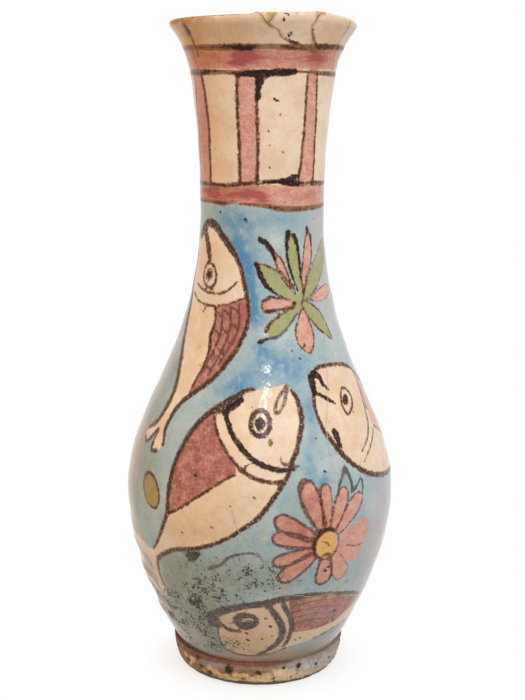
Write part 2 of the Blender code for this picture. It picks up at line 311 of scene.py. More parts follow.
class VaseColours(bpy.types.PropertyGroup):
    """Colours of the glazes, paints, clay and fillers."""

    cream: colour("Cream", "Cream ground of the neck and the fish", 234, 216, 197)
    tan: colour("Tan", "Darker clouds in the cream", 222, 192, 159)
    ink: colour("Ink", "Brown brush lines", 62, 34, 18)
    ink_edge: colour("Ink edge", "Thin edges of the brush lines", 136, 90, 64)
    black: colour("Black", "Pooled brush lines", 36, 15, 7)
    brown: colour("Brown", "Line at the foot of the neck", 138, 96, 74)
    pink: colour("Pink", "Pink bands and petals", 224, 176, 158)
    rose: colour("Rose", "Darker grains in the pink", 192, 120, 106)
    crimson: colour("Crimson", "Strong red in the pink bands", 166, 76, 74)
    mauve: colour("Mauve", "Backs of the fish", 208, 148, 128)
    plum: colour("Plum", "Darker grains on the backs of the fish", 134, 72, 68)
    slate: colour("Slate", "Grey brush lines of the fish above the foot", 80, 68, 72)
    shade: colour("Shade", "Brush marks on the backs of the fish", 92, 58, 60)
    green: colour("Green", "Green petals", 154, 164, 114)
    yellow: colour("Yellow", "Heart of the daisy", 232, 186, 112)
    olive: colour("Olive", "Olive spots", 158, 142, 72)
    turquoise: colour("Turquoise", "Ground of the body", 162, 186, 192)
    blue: colour("Blue", "Strong blue washes", 84, 142, 186)
    grey: colour("Grey", "Dirty, pitted ground", 150, 161, 153)
    # Pale is pale ground, and also painted sheen along the edges of the body
    pale: colour("Pale", "Worn, pale ground", 206, 210, 210)
    # Lilac is worn ground, and also painted sheen along the left and right edges of the body
    lilac: colour("Lilac", "Worn ground", 200, 184, 192)
    loss: colour("Loss", "Clay where the glaze is lost", 206, 160, 104)
    # Yellowed glaze, and also painted warm shade down the left side of the vase
    yellowed: colour("Yellowed", "Tint of yellowed glaze", 232, 204, 160)
    stain: colour("Stain", "Old glue that soaked in beside the cracks", 158, 108, 64)
    pit: colour("Pit", "Dirt in the pits of the glaze", 46, 36, 30)
    clay: colour("Clay", "Bare clay", 242, 214, 176)
    sand: colour("Sand", "Grit in the clay", 170, 128, 84)
    # Dark clay is soiled clay, and also the painted shade on the left of the foot
    dark_clay: colour("Dark clay", "Soiled clay", 84, 64, 50)
    inside: colour("Inside", "Glaze of the inside", 214, 192, 160)
    inside_stain: colour("Inside stain", "Darker clouds of the inside", 178, 142, 104)
    inside_pit: colour("Inside pit", "Dirt in the pits of the inside", 80, 60, 46)
    glue: colour("Glue", "Aged glue in the cracks of the mouth", 150, 96, 52)
    pale_glue: colour("Pale glue", "Glue in the cracks of the body", 196, 190, 178)
    yellow_filler: colour("Yellow filler", "Filler at the front of the rim", 226, 198, 146)
    orange_filler: colour("Orange filler", "Filler at the right of the rim", 222, 190, 142)
    filler_stain: colour("Filler stain", "Stained patches of the fillers", 188, 136, 70)


class VaseStudio(bpy.types.PropertyGroup):
    """Camera and light."""

    lens: FloatProperty(name="Lens", description="Focal length in millimetres", default=69.43)
    distance: length("Distance", "From the axis of the vase to the camera", 0.6155)
    height: length("Height", "Height of the camera", 0.27124)
    aside: length("Aside", "How far right of the axis the camera stands", 0.0009)
    pitch: angle("Pitch", "How far the camera looks down", 11.106)
    roll: angle("Roll", "How far the camera leans", 0.52)
    key: power("Key", "Power of the large front lamp", 5.6)
    side: power("Side", "Power of the warm lamp at the left", 2.2)
    edge: power("Edge", "Power of the warm lamp behind on the left", 1.6)
    glint: power("Glint", "Power of the small lamp", 0.8)
    window: power("Window", "Power of the lamp that the glaze mirrors", 0.36)
    sky: FloatProperty(name="Sky", description="Strength of the light from all round", default=0.86)
    floor: colour("Floor", "Colour of the floor", 250, 250, 250)
    bounce: colour("Bounce", "Colour of the light that the floor throws back", 150, 148, 146)


def outer_radius(height):
    """Radius of the outer wall: a smooth curve through the stations."""
    height = np.asarray(height, float)
    level, radius, slope = STATIONS.T
    i = np.clip(np.searchsorted(level, height) - 1, 0, len(level) - 2)
    span = level[i + 1] - level[i]
    t = np.clip((height - level[i]) / span, 0, 1)
    rise = t * t * (3 - 2 * t)
    bend = slope[i] * t * (1 - t) ** 2 - slope[i + 1] * t * t * (1 - t)
    return radius[i] + (radius[i + 1] - radius[i]) * rise + span * bend


def smooth(path, closed=False):
    """A smooth line through the points, in short steps. Each point is an angle, a height and a width."""
    points = np.array(path, float)
    if closed:
        points = np.vstack([points[-1], points, points[:2]])
    else:
        points = np.vstack([2 * points[0] - points[1], points, 2 * points[-1] - points[-2]])
    line = []
    for before, start, end, after in zip(points, points[1:], points[2:], points[3:]):
        across = math.radians(end[0] - start[0]) * float(outer_radius(start[1]))
        count = max(1, round(math.hypot(across, end[1] - start[1]) / PATH_STEP))
        t = np.arange(count)[:, None] / count
        line.append(
            start
            + (end - before) * t / 2
            + (2 * before - 5 * start + 4 * end - after) * t**2 / 2
            + (3 * start - before - 3 * end + after) * t**3 / 2
        )
    line.append(points[-2:-1])
    return np.vstack(line)


def stroke(layer, path, width=1.4, closed=False):
    """A brush line. Width is one number, or one for each point."""
    widths = np.broadcast_to(width, len(path))
    return Mark("stroke", layer, smooth([(*p, w) for p, w in zip(path, widths)], closed), None)


def fill(layer, path):
    """A painted patch inside a smooth outline."""
    return Mark("fill", layer, smooth([(*p, 0) for p in path], closed=True), None)


def ellipse(centre, across, tall, lean=0.0):
    """Points of an ellipse on the wall: across in degrees, tall in millimetres, lean in degrees per millimetre."""
    turns = np.radians(np.arange(0, 360, 30))
    return [
        (centre[0] + across * math.cos(a) + lean * tall * math.sin(a), centre[1] + tall * math.sin(a)) for a in turns
    ]


def ring(layer, path):
    """A line right round the vase, through points of angle, height and width."""
    return Mark("ring", layer, np.array(path, float), None)


def band(layer, low, high):
    """Paint right round the vase, from a lower edge of angles and heights up to one height."""
    return Mark("band", layer, np.array(low, float), high)


def wash(layer, across, height, wide, tall, amount):
    """A soft patch of colour about an angle and a height: its size is in millimetres, across and tall."""
    return Mark("wash", layer, np.array([across, height, wide, tall], float), amount)


# Half a petal's outline and its mirror: how far along it, and how far out as a share of half its width
PETAL_SHAPE = (
    (0.0, 0.45), (0.35, 0.85), (0.72, 1.0), (0.92, 0.75), (1.0, 0.0), (0.92, -0.75), (0.72, -1.0), (0.35, -0.85),
    (0.0, -0.45),
)


def petal(layer, base, tip, width, outline_width):
    """A leaf-shaped patch from its base to its tip, and its outline."""
    scale = math.radians(1) * float(outer_radius((base[1] + tip[1]) / 2))
    along = np.array([(tip[0] - base[0]) * scale, tip[1] - base[1]])
    across = np.array([-along[1], along[0]]) / np.linalg.norm(along) * width / 2
    outline = []
    for share, out in PETAL_SHAPE:
        x, y = along * share + across * out
        outline.append((base[0] + x / scale, base[1] + y))
    edge = [stroke("shade", outline, outline_width, closed=True)] if outline_width else []
    return [fill(layer, outline)] + edge


def moved(marks, turn, lift=0.0):
    """The same brush lines and patches elsewhere on the wall."""
    return [mark._replace(path=mark.path + (turn, lift, 0.0)) for mark in marks]


# Brush lines down the steep fish's back: where each starts, bends and ends
SCALE_LINES = (
    ((-31, 174.5), (-30, 163), (-38, 146)),
    ((-24, 175.5), (-23.5, 163), (-33, 146)),
    ((-17, 176.5), (-17, 165), (-27, 151)),
)


def steep_fish():
    """The narrow fish that swims up the left of the neck."""
    back = [
        (-71, 204.5), (-64, 209), (-54.5, 211), (-45, 209.5), (-27.5, 200.5), (-19, 194), (-13.5, 184.5),
        (-10, 177), (-9.5, 170), (-14, 160.5), (-21, 152.5), (-30, 144), (-41, 137), (-48, 131), (-51.5, 122),
        (-50, 114.5),
    ]
    belly = [
        (-66.5, 118.5), (-59.5, 124), (-56, 134), (-57, 142), (-61, 150), (-66, 157), (-70, 166), (-75, 175),
        (-81, 186), (-80, 197),
    ]
    tail = [(-53, 111), (-57, 110.5), (-58, 114), (-57, 119.5), (-60.5, 116), (-64, 113), (-67, 114.5)]
    edge = [(-38, 174.5), (-36, 170), (-37.5, 161.5), (-36, 157), (-38, 149), (-41, 142.5), (-43, 136)]
    low_gill = [(-69.5, 179), (-58, 176), (-41, 175), (-27, 176.5), (-13, 179.5)]
    marks = [
        fill("cream", back + tail + belly),
        fill("mauve", low_gill[3:] + back[7:13] + edge[::-1]),
        stroke("ink", back, [3.2, 4.0, 4.0, 4.0, 3.2, 2.4, 2.2, 2.1, 2.1, 2.4, 2.6, 2.6, 2.8, 2.8, 2.6, 2.2]),
        stroke("ink", belly, [2.4, 2.8, 3.0, 3.0, 3.0, 3.2, 3.4, 3.8, 4.0, 3.0]),
        stroke("ink", tail, 2.0),
        stroke("ink", edge, [1.8, 1.6, 2.0, 1.5, 1.8, 1.4, 1.0]),
        stroke("ink", [(-63, 207), (-58.5, 204), (-54.5, 199), (-51.5, 194)], [3.6, 3.8, 3.6, 2.6]),
        stroke(
            "ink",
            [(-66.5, 183.5), (-56, 181.5), (-44, 180.5), (-30.5, 181.5), (-20, 186.5)],
            [1.0, 1.4, 1.4, 1.3, 1.0],
        ),
        stroke("ink", low_gill, 1.2),
        stroke("ink", [(-49, 174.5), (-48.5, 173), (-50, 171.8)], [0.8, 1.3, 0.9]),
        stroke("ink", ellipse((-49.5, 188), 8.2, 5.4, -0.35), 1.5, closed=True),
        stroke("ink", ellipse((-50, 188.3), 3.8, 2.4), 0.9, closed=True),
        fill("black", ellipse((-50, 188.3), 3.4, 2.0)),
    ]
    for top, middle, foot in SCALE_LINES:
        marks.append(stroke("shade", [top, middle, foot], [0.8, 1.2, 0.7]))
        for share in np.arange(0.1, 1.0, 0.27):
            start, end, part = (top, middle, share * 2) if share < 0.5 else (middle, foot, share * 2 - 1)
            across = start[0] + (end[0] - start[0]) * part
            height = top[1] + (foot[1] - top[1]) * share
            marks.append(stroke("shade", [(across - 5, height + 1.2), (across, height - 0.8)], [0.5, 1.2]))
    return marks


def leaf_flower():
    """The flower with green and pink leaves below the neck."""
    up = [(24, 207.5), (23, 200.5), (26.5, 190.5), (32, 181), (35, 181), (35.5, 190), (35, 198), (31, 206)]
    upper_left = [
        (-4, 194.5), (0, 187.5), (9.5, 182.5), (21.5, 179), (32, 178), (31, 180), (22, 185), (14, 191), (3, 194),
    ]
    upper_right = [(71, 204), (49, 193), (40.5, 184.5), (35, 178), (48, 181.5), (64, 189), (73, 198)]
    low_left = [(6, 163.5), (6, 167), (12.5, 171.5), (23, 174.5), (33, 176.5), (29, 173), (19.5, 167), (12, 163.5)]
    low_right = [(36, 178), (47, 174.5), (54, 169.5), (59, 160), (52, 162.5), (43.5, 167), (33.5, 176)]
    bud = [(11.5, 199), (17.5, 196.5), (22, 191), (28.5, 183), (20.5, 188.5), (13.5, 193.5)]
    pink_up = [(46, 208.5), (40.5, 200), (37, 190), (36, 181), (42.5, 189), (48.5, 195), (50, 202)]
    pink_left = [(1, 176), (2, 178.5), (9, 179.7), (17.5, 179.5), (28, 177.3), (22, 175.5), (11, 174.5), (3, 174)]
    pink_right = [(42, 178.5), (55.5, 182), (69.5, 183.5), (76, 180.5), (70, 178.5), (58.5, 177), (48, 177)]
    pink_down = [(33.5, 174.5), (28, 169), (25.5, 165), (27, 159.5), (33, 155.7), (37, 157), (40, 164), (38, 169.5)]
    marks = [fill("green", leaf) for leaf in (up, upper_left, upper_right, low_left, low_right)]
    marks += [fill("pink", leaf) for leaf in (bud, pink_up, pink_left, pink_right, pink_down)]
    marks += [stroke("ink", leaf, 0.9, closed=True) for leaf in (bud, pink_up, pink_left, pink_down, low_right)]
    marks += [stroke("shade", leaf, 0.5, closed=True) for leaf in (upper_right, pink_right)]
    marks += [
        fill("green", ellipse((34, 178), 6, 3)),
        stroke("black", [(-1, 205), (4, 203.5), (8.5, 200.5), (12, 196)], [2.8, 2.6, 2.2, 1.2]),
        stroke("ink", [(8.5, 201.5), (12, 199.5), (14.5, 198)], 0.8),
        stroke("black", [(24.5, 208), (23, 203), (23, 197), (26.5, 190), (31, 182.5)], [2.8, 1.9, 1.5, 1.2, 0.8]),
        stroke("black", [(30.5, 206.5), (33.5, 202), (35, 196), (35.5, 187)], [2.6, 1.8, 1.4, 1.0]),
        stroke("black", [(45, 209.5), (45, 206.5)], [2.2, 1.2]),
        stroke("black", [(49.5, 206), (50, 202.5)], [2.0, 1.1]),
        stroke("black", [(-4, 194.5), (-1, 190), (3, 186), (9.5, 182.5), (17, 180.3)], [2.2, 2.4, 2.2, 1.4, 0.6]),
        stroke("ink", [(-4, 194.5), (3, 194), (14, 191), (22, 185), (29, 181)], [1.4, 1.0, 0.8, 0.8, 0.6]),
        stroke("black", [(-0.5, 161), (4.5, 162.4)], [2.2, 1.4]),
        stroke("slate", [(5.5, 162.5), (12, 163.3), (20.5, 167.5), (29, 173)], [1.4, 1.3, 1.0, 0.8]),
        stroke("ink", [(3.5, 165.5), (8, 169.5), (16.5, 172.7), (27, 175.5)], [1.6, 1.6, 1.0, 0.6]),
        stroke("ink", [(1, 178), (7, 180), (16, 179.7)], [1.7, 1.7, 1.1]),
        stroke("ink", [(4, 174), (13, 174.5), (22, 175.6)], [1.9, 1.8, 1.0]),
        fill("black", ellipse((30.5, 159), 1.0, 0.9)),
        fill("yellow", ellipse((28.8, 159.6), 0.9, 0.8)),
    ]
    return marks


def great_fish():
    """The large fish in the middle of the belly."""
    back = [
        (-3, 141.5), (-8, 141), (-13, 138.5), (-19, 135.5), (-24.5, 132), (-30, 128), (-34.5, 122), (-37.5, 115.5),
        (-39.5, 108), (-40.5, 96), (-40.5, 86.5), (-43, 80), (-47, 72), (-51, 67),
    ]
    front = [
        (17.5, 141), (20.5, 137), (21.5, 131), (21, 127), (19, 122), (17, 117), (14.5, 112.5), (13, 109), (11, 105),
        (7.5, 100), (3.5, 94), (-1, 88.5), (-6, 84.5), (-12.5, 79.3), (-20.5, 75), (-28.5, 72), (-37, 70),
        (-45, 65.5), (-49.5, 62), (-51.5, 55), (-50.5, 49.5), (-48.5, 46),
    ]
    gill = [(-24, 131), (-21, 124.5), (-16.5, 118), (-11, 112), (-6, 108), (-0.5, 105.5), (4, 104.3), (10, 104.5)]
    line = [(-40, 86), (-33, 90.5), (-26, 96), (-20, 100.5), (-15, 104.5), (-10.5, 107)]
    mouth = [(15.5, 143), (13, 141), (10, 138), (8, 134.5), (8.2, 131.8), (10.5, 133), (13, 136), (15, 140)]
    tail = [
        (-55, 66), (-60, 67.5), (-66, 69), (-73, 71.5), (-77, 70.5), (-75, 66), (-68, 62.5), (-61, 61), (-57, 60),
        (-56.5, 58), (-57.5, 52.5), (-55, 45.5), (-50.5, 40.5), (-48.5, 46),
    ]
    front_widths = [1.6, 2.3, 2.6, 2.6, 2.5, 2.4, 2.4, 2.6] + [2.3] * 4 + [2.1] * 3
    front_widths += [2.4, 2.4, 2.4, 2.2, 1.8, 1.4, 1.0]
    marks = [
        fill("cream", back + tail + front[-3::-1] + [(15, 143.7), (8, 142.5)]),
        fill("mauve", back[4:11] + line + gill[3::-1]),
        stroke("ink", back, [1.4, 2.2, 2.8, 3.2, 3.2, 2.9, 2.8, 2.8, 2.7, 2.6, 2.5, 2.2, 1.8, 1.4]),
        stroke("ink", front, front_widths),
        stroke("black", [(-9.5, 137.2), (-14, 134.5), (-18, 132)], [2.0, 2.8, 2.4]),
        fill("ink", [
            (-9.5, 140), (-9.5, 137.5), (-14, 134.5), (-18, 131.5), (-24.5, 131), (-19, 135.5), (-13, 138.7),
        ]),
        stroke("shade", tail[9:], 0.6),
        stroke(
            "black",
            [(-18, 132), (-16, 128), (-12, 122), (-7, 117), (-2, 113), (3.5, 110.5), (9, 109), (15, 109.3)],
            [2.2, 2.3, 2.3, 2.4, 2.5, 2.5, 2.3, 1.6],
        ),
        stroke("ink", gill, [1.4, 1.6, 1.7, 1.9, 2.1, 2.0, 1.9, 1.7]),
        stroke("shade", [(14, 109.6), (17.5, 110.6)], [1.6, 0.8]),
        stroke("shade", [(9.6, 115), (9.4, 112.5), (11.5, 111.2), (14, 111.6)], [0.5, 0.9, 1.3, 0.9]),
        stroke("ink", [(-6, 110.5), (-3, 112.5)], 0.7),
        stroke("ink", line, 1.4),
        stroke("ink", ellipse((0.3, 128), 4.7, 5.1), 2.3, closed=True),
        stroke("black", [(-3, 124.6), (0, 123), (3.4, 124)], [1.2, 2.0, 1.2]),
        fill("black", ellipse((0.2, 127.9), 2.8, 2.7)),
        stroke("shade", mouth, 1.5, closed=True),
        fill("olive", ellipse((4.9, 120.2), 1.2, 1.7)),
        fill("black", ellipse((5.3, 120.4), 0.9, 1.0)),
        fill("black", [(-32.5, 69.8), (-24, 71.5), (-26, 68), (-29, 65.5), (-31, 67)]),
    ]
    return marks


def right_fish():
    """The fish that turns round the right of the belly."""
    top = [
        (31, 145.5), (33, 147), (38.5, 149.2), (50, 149.3), (61, 148.2), (71.5, 145.5), (80.5, 140.5), (90, 134),
        (102, 124), (114, 111), (124, 98),
    ]
    low = [
        (122, 90), (104, 93), (84, 96.5), (67.5, 98), (53, 102.5), (42.5, 110), (36, 118), (31.5, 125.5), (30, 134),
        (31, 141.5),
    ]
    tail = [(133, 96), (128, 91), (131, 83)]
    cheek = [(75, 143.5), (74.5, 138), (72.5, 132.5), (70, 127), (67, 122), (60.5, 116), (53, 111.5)]
    side = [
        (76.5, 143), (76, 138), (75, 132), (73.5, 127), (72, 122), (72, 119), (77.5, 116.5), (84.5, 112),
        (100, 106),
    ]
    eye = [(53, 139), (50, 136.5), (48.5, 133), (49, 130), (50.5, 128), (54, 129), (58, 132), (58, 136.5)]
    marks = [
        fill("cream", top + tail + low),
        fill("pink", side + top[9:5:-1]),
        stroke("ink", top + tail, [2.2, 2.2, 2.0] + [1.8] * 11),
        stroke("ink", low, [1.8, 1.8, 2.4, 2.6, 2.6, 2.6, 2.5, 2.2, 2.1, 2.1]),
        stroke("shade", side[5:], 1.4),
        stroke("black", [(31.5, 145.5), (31.5, 142.5), (31.5, 138.5)], [3.8, 3.6, 2.0]),
        stroke("black", [(33.5, 147), (37.5, 145), (38.2, 142)], [3.0, 2.6, 1.8]),
        stroke("black", [(38, 142.5), (40, 141), (41.5, 139.5)], [1.6, 1.3, 0.8]),
        stroke("black", [(33, 139), (37, 137), (40, 135.5), (43.5, 133.5)], [1.4, 1.9, 1.6, 0.8]),
        stroke("ink", eye, 1.4, closed=True),
        fill("black", ellipse((52.5, 134), 2.6, 2.4, 0.4)),
        fill("black", ellipse((55.5, 128.3), 0.9, 0.6)),
        stroke("shade", cheek, [1.0, 1.4, 1.7, 1.7, 1.5, 1.2, 0.8]),
        stroke("shade", [(77, 138), (75.5, 132.5), (73, 126.5)], 1.0),
        stroke("shade", [(70, 118), (64, 114), (58.5, 110.5), (53, 107)], [1.0, 1.0, 0.8, 0.6]),
        stroke("black", [(38.3, 122), (39, 119.8), (39.5, 116)], [3.6, 3.2, 2.4]),
    ]
    return marks


# The daisy's petals: the angle and height of each tip, the petal's width in millimetres and its outline's
DAISY_TIPS = (
    (18.5, 104.5, 8.2, 1.3), (28.5, 102, 5.6, 0.9), (38.3, 99, 6.6, 1.0), (47.5, 94.5, 7.2, 0.8),
    (53.5, 77, 12.5, 0), (49.5, 66, 9, 0), (41, 56, 8.5, 0.4), (29.5, 55, 8, 1.5), (9, 59.5, 7.5, 1.3),
    (6, 68, 6, 1.4), (5.5, 80.5, 6.6, 1.3), (6.5, 89, 7.2, 1.4),
)


def daisy():
    """The pink daisy with a yellow heart."""
    heart = (29.3, 74.5)
    marks = []
    for across, height, width, outline_width in DAISY_TIPS:
        base = (heart[0] + (across - heart[0]) * 0.27, heart[1] + (height - heart[1]) * 0.27)
        marks += petal("pink", base, (across, height), width, outline_width)
    marks += [
        stroke(
            "slate",
            [(34.5, 96), (35.5, 100), (38, 104), (40, 107.5), (41.5, 103.5), (42.3, 99), (41.5, 96)],
            [0.8, 1.3, 1.6, 1.4, 1.8, 1.4, 0.8],
        ),
        stroke("slate", [(43, 96.5), (45, 98), (48, 101)], [1.2, 1.5, 1.0]),
        stroke("slate", [(49, 100.5), (49, 96.5), (48, 94)], [1.0, 1.2, 1.0]),
        stroke("shade", [(20, 104), (17, 99), (17.5, 93), (22, 85)], [0.8, 1.3, 1.1, 1.0]),
        stroke("ink", [(23.5, 102), (25.8, 96), (26.6, 90), (27, 84)], [0.8, 1.3, 1.5, 1.6]),
        fill("yellow", ellipse(heart, 5.0, 6.2)),
        stroke("shade", ellipse(heart, 5.8, 7.0), 1.0, closed=True),
        stroke("ink", ellipse(heart, 6.2, 7.2)[2:9], [1.2, 2.4, 3.0, 3.0, 2.6, 2.0, 1.0]),
        stroke("shade", [(26.5, 76.5), (29, 75.5), (30.5, 73.5)], [0.4, 0.9, 0.5]),
        stroke("shade", [(40, 72), (46, 70.3), (51, 70.5)], [0.5, 0.6, 0.4]),
        fill("yellow", ellipse((2.5, 80), 2.0, 0.7)),
    ]
    return marks


def foot_fish():
    """The fish that swims round just above the foot."""
    top = [
        (-24, 36.5), (-21.5, 40), (-16, 42.8), (-8.5, 45.5), (0, 47), (6, 48.2), (13, 50), (30, 49.5), (50, 45.2),
        (62, 41),
    ]
    tail = [(70, 38), (84, 43), (82, 34), (87, 25), (74, 29)]
    low = [
        (62, 28), (47, 26.5), (34, 24), (17, 21.5), (7, 18), (-5.5, 17), (-14.5, 18), (-21, 21.5), (-22, 28.5),
        (-21, 33.5),
    ]
    patch = [
        (15, 50), (30, 48.7), (51, 43.5), (62, 39), (52, 33.5), (45.5, 31), (34, 30), (22, 30), (19, 31), (17, 38),
    ]
    marks = [
        fill("cream", top + tail + low),
        fill("mauve", patch),
        stroke("slate", top, [4.6, 4.4, 4.0, 3.6, 3.6, 3.6, 3.2, 2.6, 2.0, 1.4]),
        fill("slate", [(-26.5, 33), (-25, 38), (-20, 41), (-20, 36), (-20.5, 33)]),
        stroke("shade", tail + low[:3], 0.8),
        stroke("shade", low[3:], [0.8, 1.0, 1.2, 1.2, 1.0, 0.8, 1.0]),
        stroke(
            "slate",
            [(3, 47.5), (5.5, 45), (9.5, 39.5), (13, 32), (12, 26), (6.5, 21), (0, 17.8)],
            [2.4, 2.8, 3.2, 3.4, 3.0, 2.2, 1.4],
        ),
        stroke(
            "slate",
            [(11, 48.5), (12.5, 45.5), (16, 39), (18, 32), (17, 25.5), (14.5, 22)],
            [2.2, 2.6, 2.6, 2.6, 2.2, 1.2],
        ),
        stroke("slate", ellipse((-5.8, 37.6), 5.0, 3.4), [2.6] * 3 + [3.4] * 7 + [2.6] * 2, closed=True),
        fill("slate", ellipse((-6.2, 35.7), 4.2, 1.9)),
        stroke("slate", [(-19.5, 36), (-18.5, 33.8), (-15, 32), (-9.5, 31.5)], [1.2, 2.0, 2.2, 1.6]),
    ]
    for height in (46.5, 43, 39.5, 36):
        marks.append(stroke("shade", [(17, height - 1), (30, height), (46, height - 3)], [0.7, 0.4, 0.3]))
    return marks


def olive_spot(centre):
    """A small olive oval with a brown outline."""
    outline = ellipse(centre, 5.5, 7.3, -0.34)
    widths = [1.4] * 3 + [1.9] * 3 + [1.0] * 3 + [1.4] * 3
    return [fill("olive", outline), stroke("ink", outline, widths, closed=True)]


# The brown line at the foot of the neck: angle and height, and its width at each
SEAM_LINE = [
    (-180, 220), (-54, 220.6), (-38, 220.2), (-24, 221), (-13, 220.2), (2, 219.8), (15, 218.5), (34, 218),
    (59, 218.4),
]
SEAM_WIDTHS = [1.5, 1.4, 1.9, 1.0, 1.2, 1.6, 2.1, 2.1, 1.6]


# Upright stripes of the neck: angles of the left and the right line at each height, and the lines' widths
STRIPE_HEIGHTS = (276.5, 260, 243, 229)
STRIPES = (
    ((-69, -72, -75, -78), (-55.5, -52.6, -53.3, -54.2), (1.6, 2.0)),
    ((-20, -20.5, -19.6, -19.5), (-4.5, -4.6, -3.7, -4.5), (1.75, 1.75)),
    ((36, 37, 36.5, 33.5), (45.5, 50, 52, 51.5), (1.6, 1.5)),
    ((84, 85, 86, 86), (96, 97, 98, 98), (1.2, 1.2)),
    ((136, 136, 136, 135), (147, 148, 148, 148), (1.2, 1.2)),
    ((-172, -171, -171, -171), (-161, -160, -160, -160), (1.2, 1.2)),
    ((-121, -120, -120, -120), (-108, -108, -108, -108), (1.2, 1.2)),
)


# Dark flecks and pits: angle, height and size in millimetres
SPECKS = (
    (10.5, 299.6, 0.9), (13.5, 298.8, 0.9), (11.5, 297, 0.7), (16, 291.2, 0.9), (17.5, 292.2, 0.8), (-7, 300, 0.8),
    (19, 299.4, 0.6), (22, 300.3, 0.7), (23.5, 288.5, 0.6), (-14.5, 213.5, 1.6), (-41, 216.5, 1.0),
    (21, 157.5, 1.0), (25.5, 154, 0.8), (9, 265.5, 1.3), (12, 264.8, 0.9), (14, 259, 0.9), (5, 252, 0.8),
    (5.5, 246, 0.8), (17.5, 243, 1.0), (6, 236.5, 0.9), (-28, 105.5, 1.3), (-19.5, 84, 1.0), (-33, 79, 0.7),
    (-12, 94, 0.7), (-2, 98, 0.7), (27, 121, 0.6), (29, 107, 0.8), (6, 35, 1.4), (-6.5, 31, 0.9), (-6, 27, 1.1),
    (-17, 27, 0.8), (-12, 25.5, 0.9), (3.5, 39.5, 0.8), (7.5, 29, 0.8), (2, 27.5, 0.7), (24, 26.5, 1.2),
    (42, 38, 1.6), (44.5, 32, 1.1), (21.5, 25.5, 0.8), (29.5, 62, 1.1), (31, 63.5, 0.8),
)


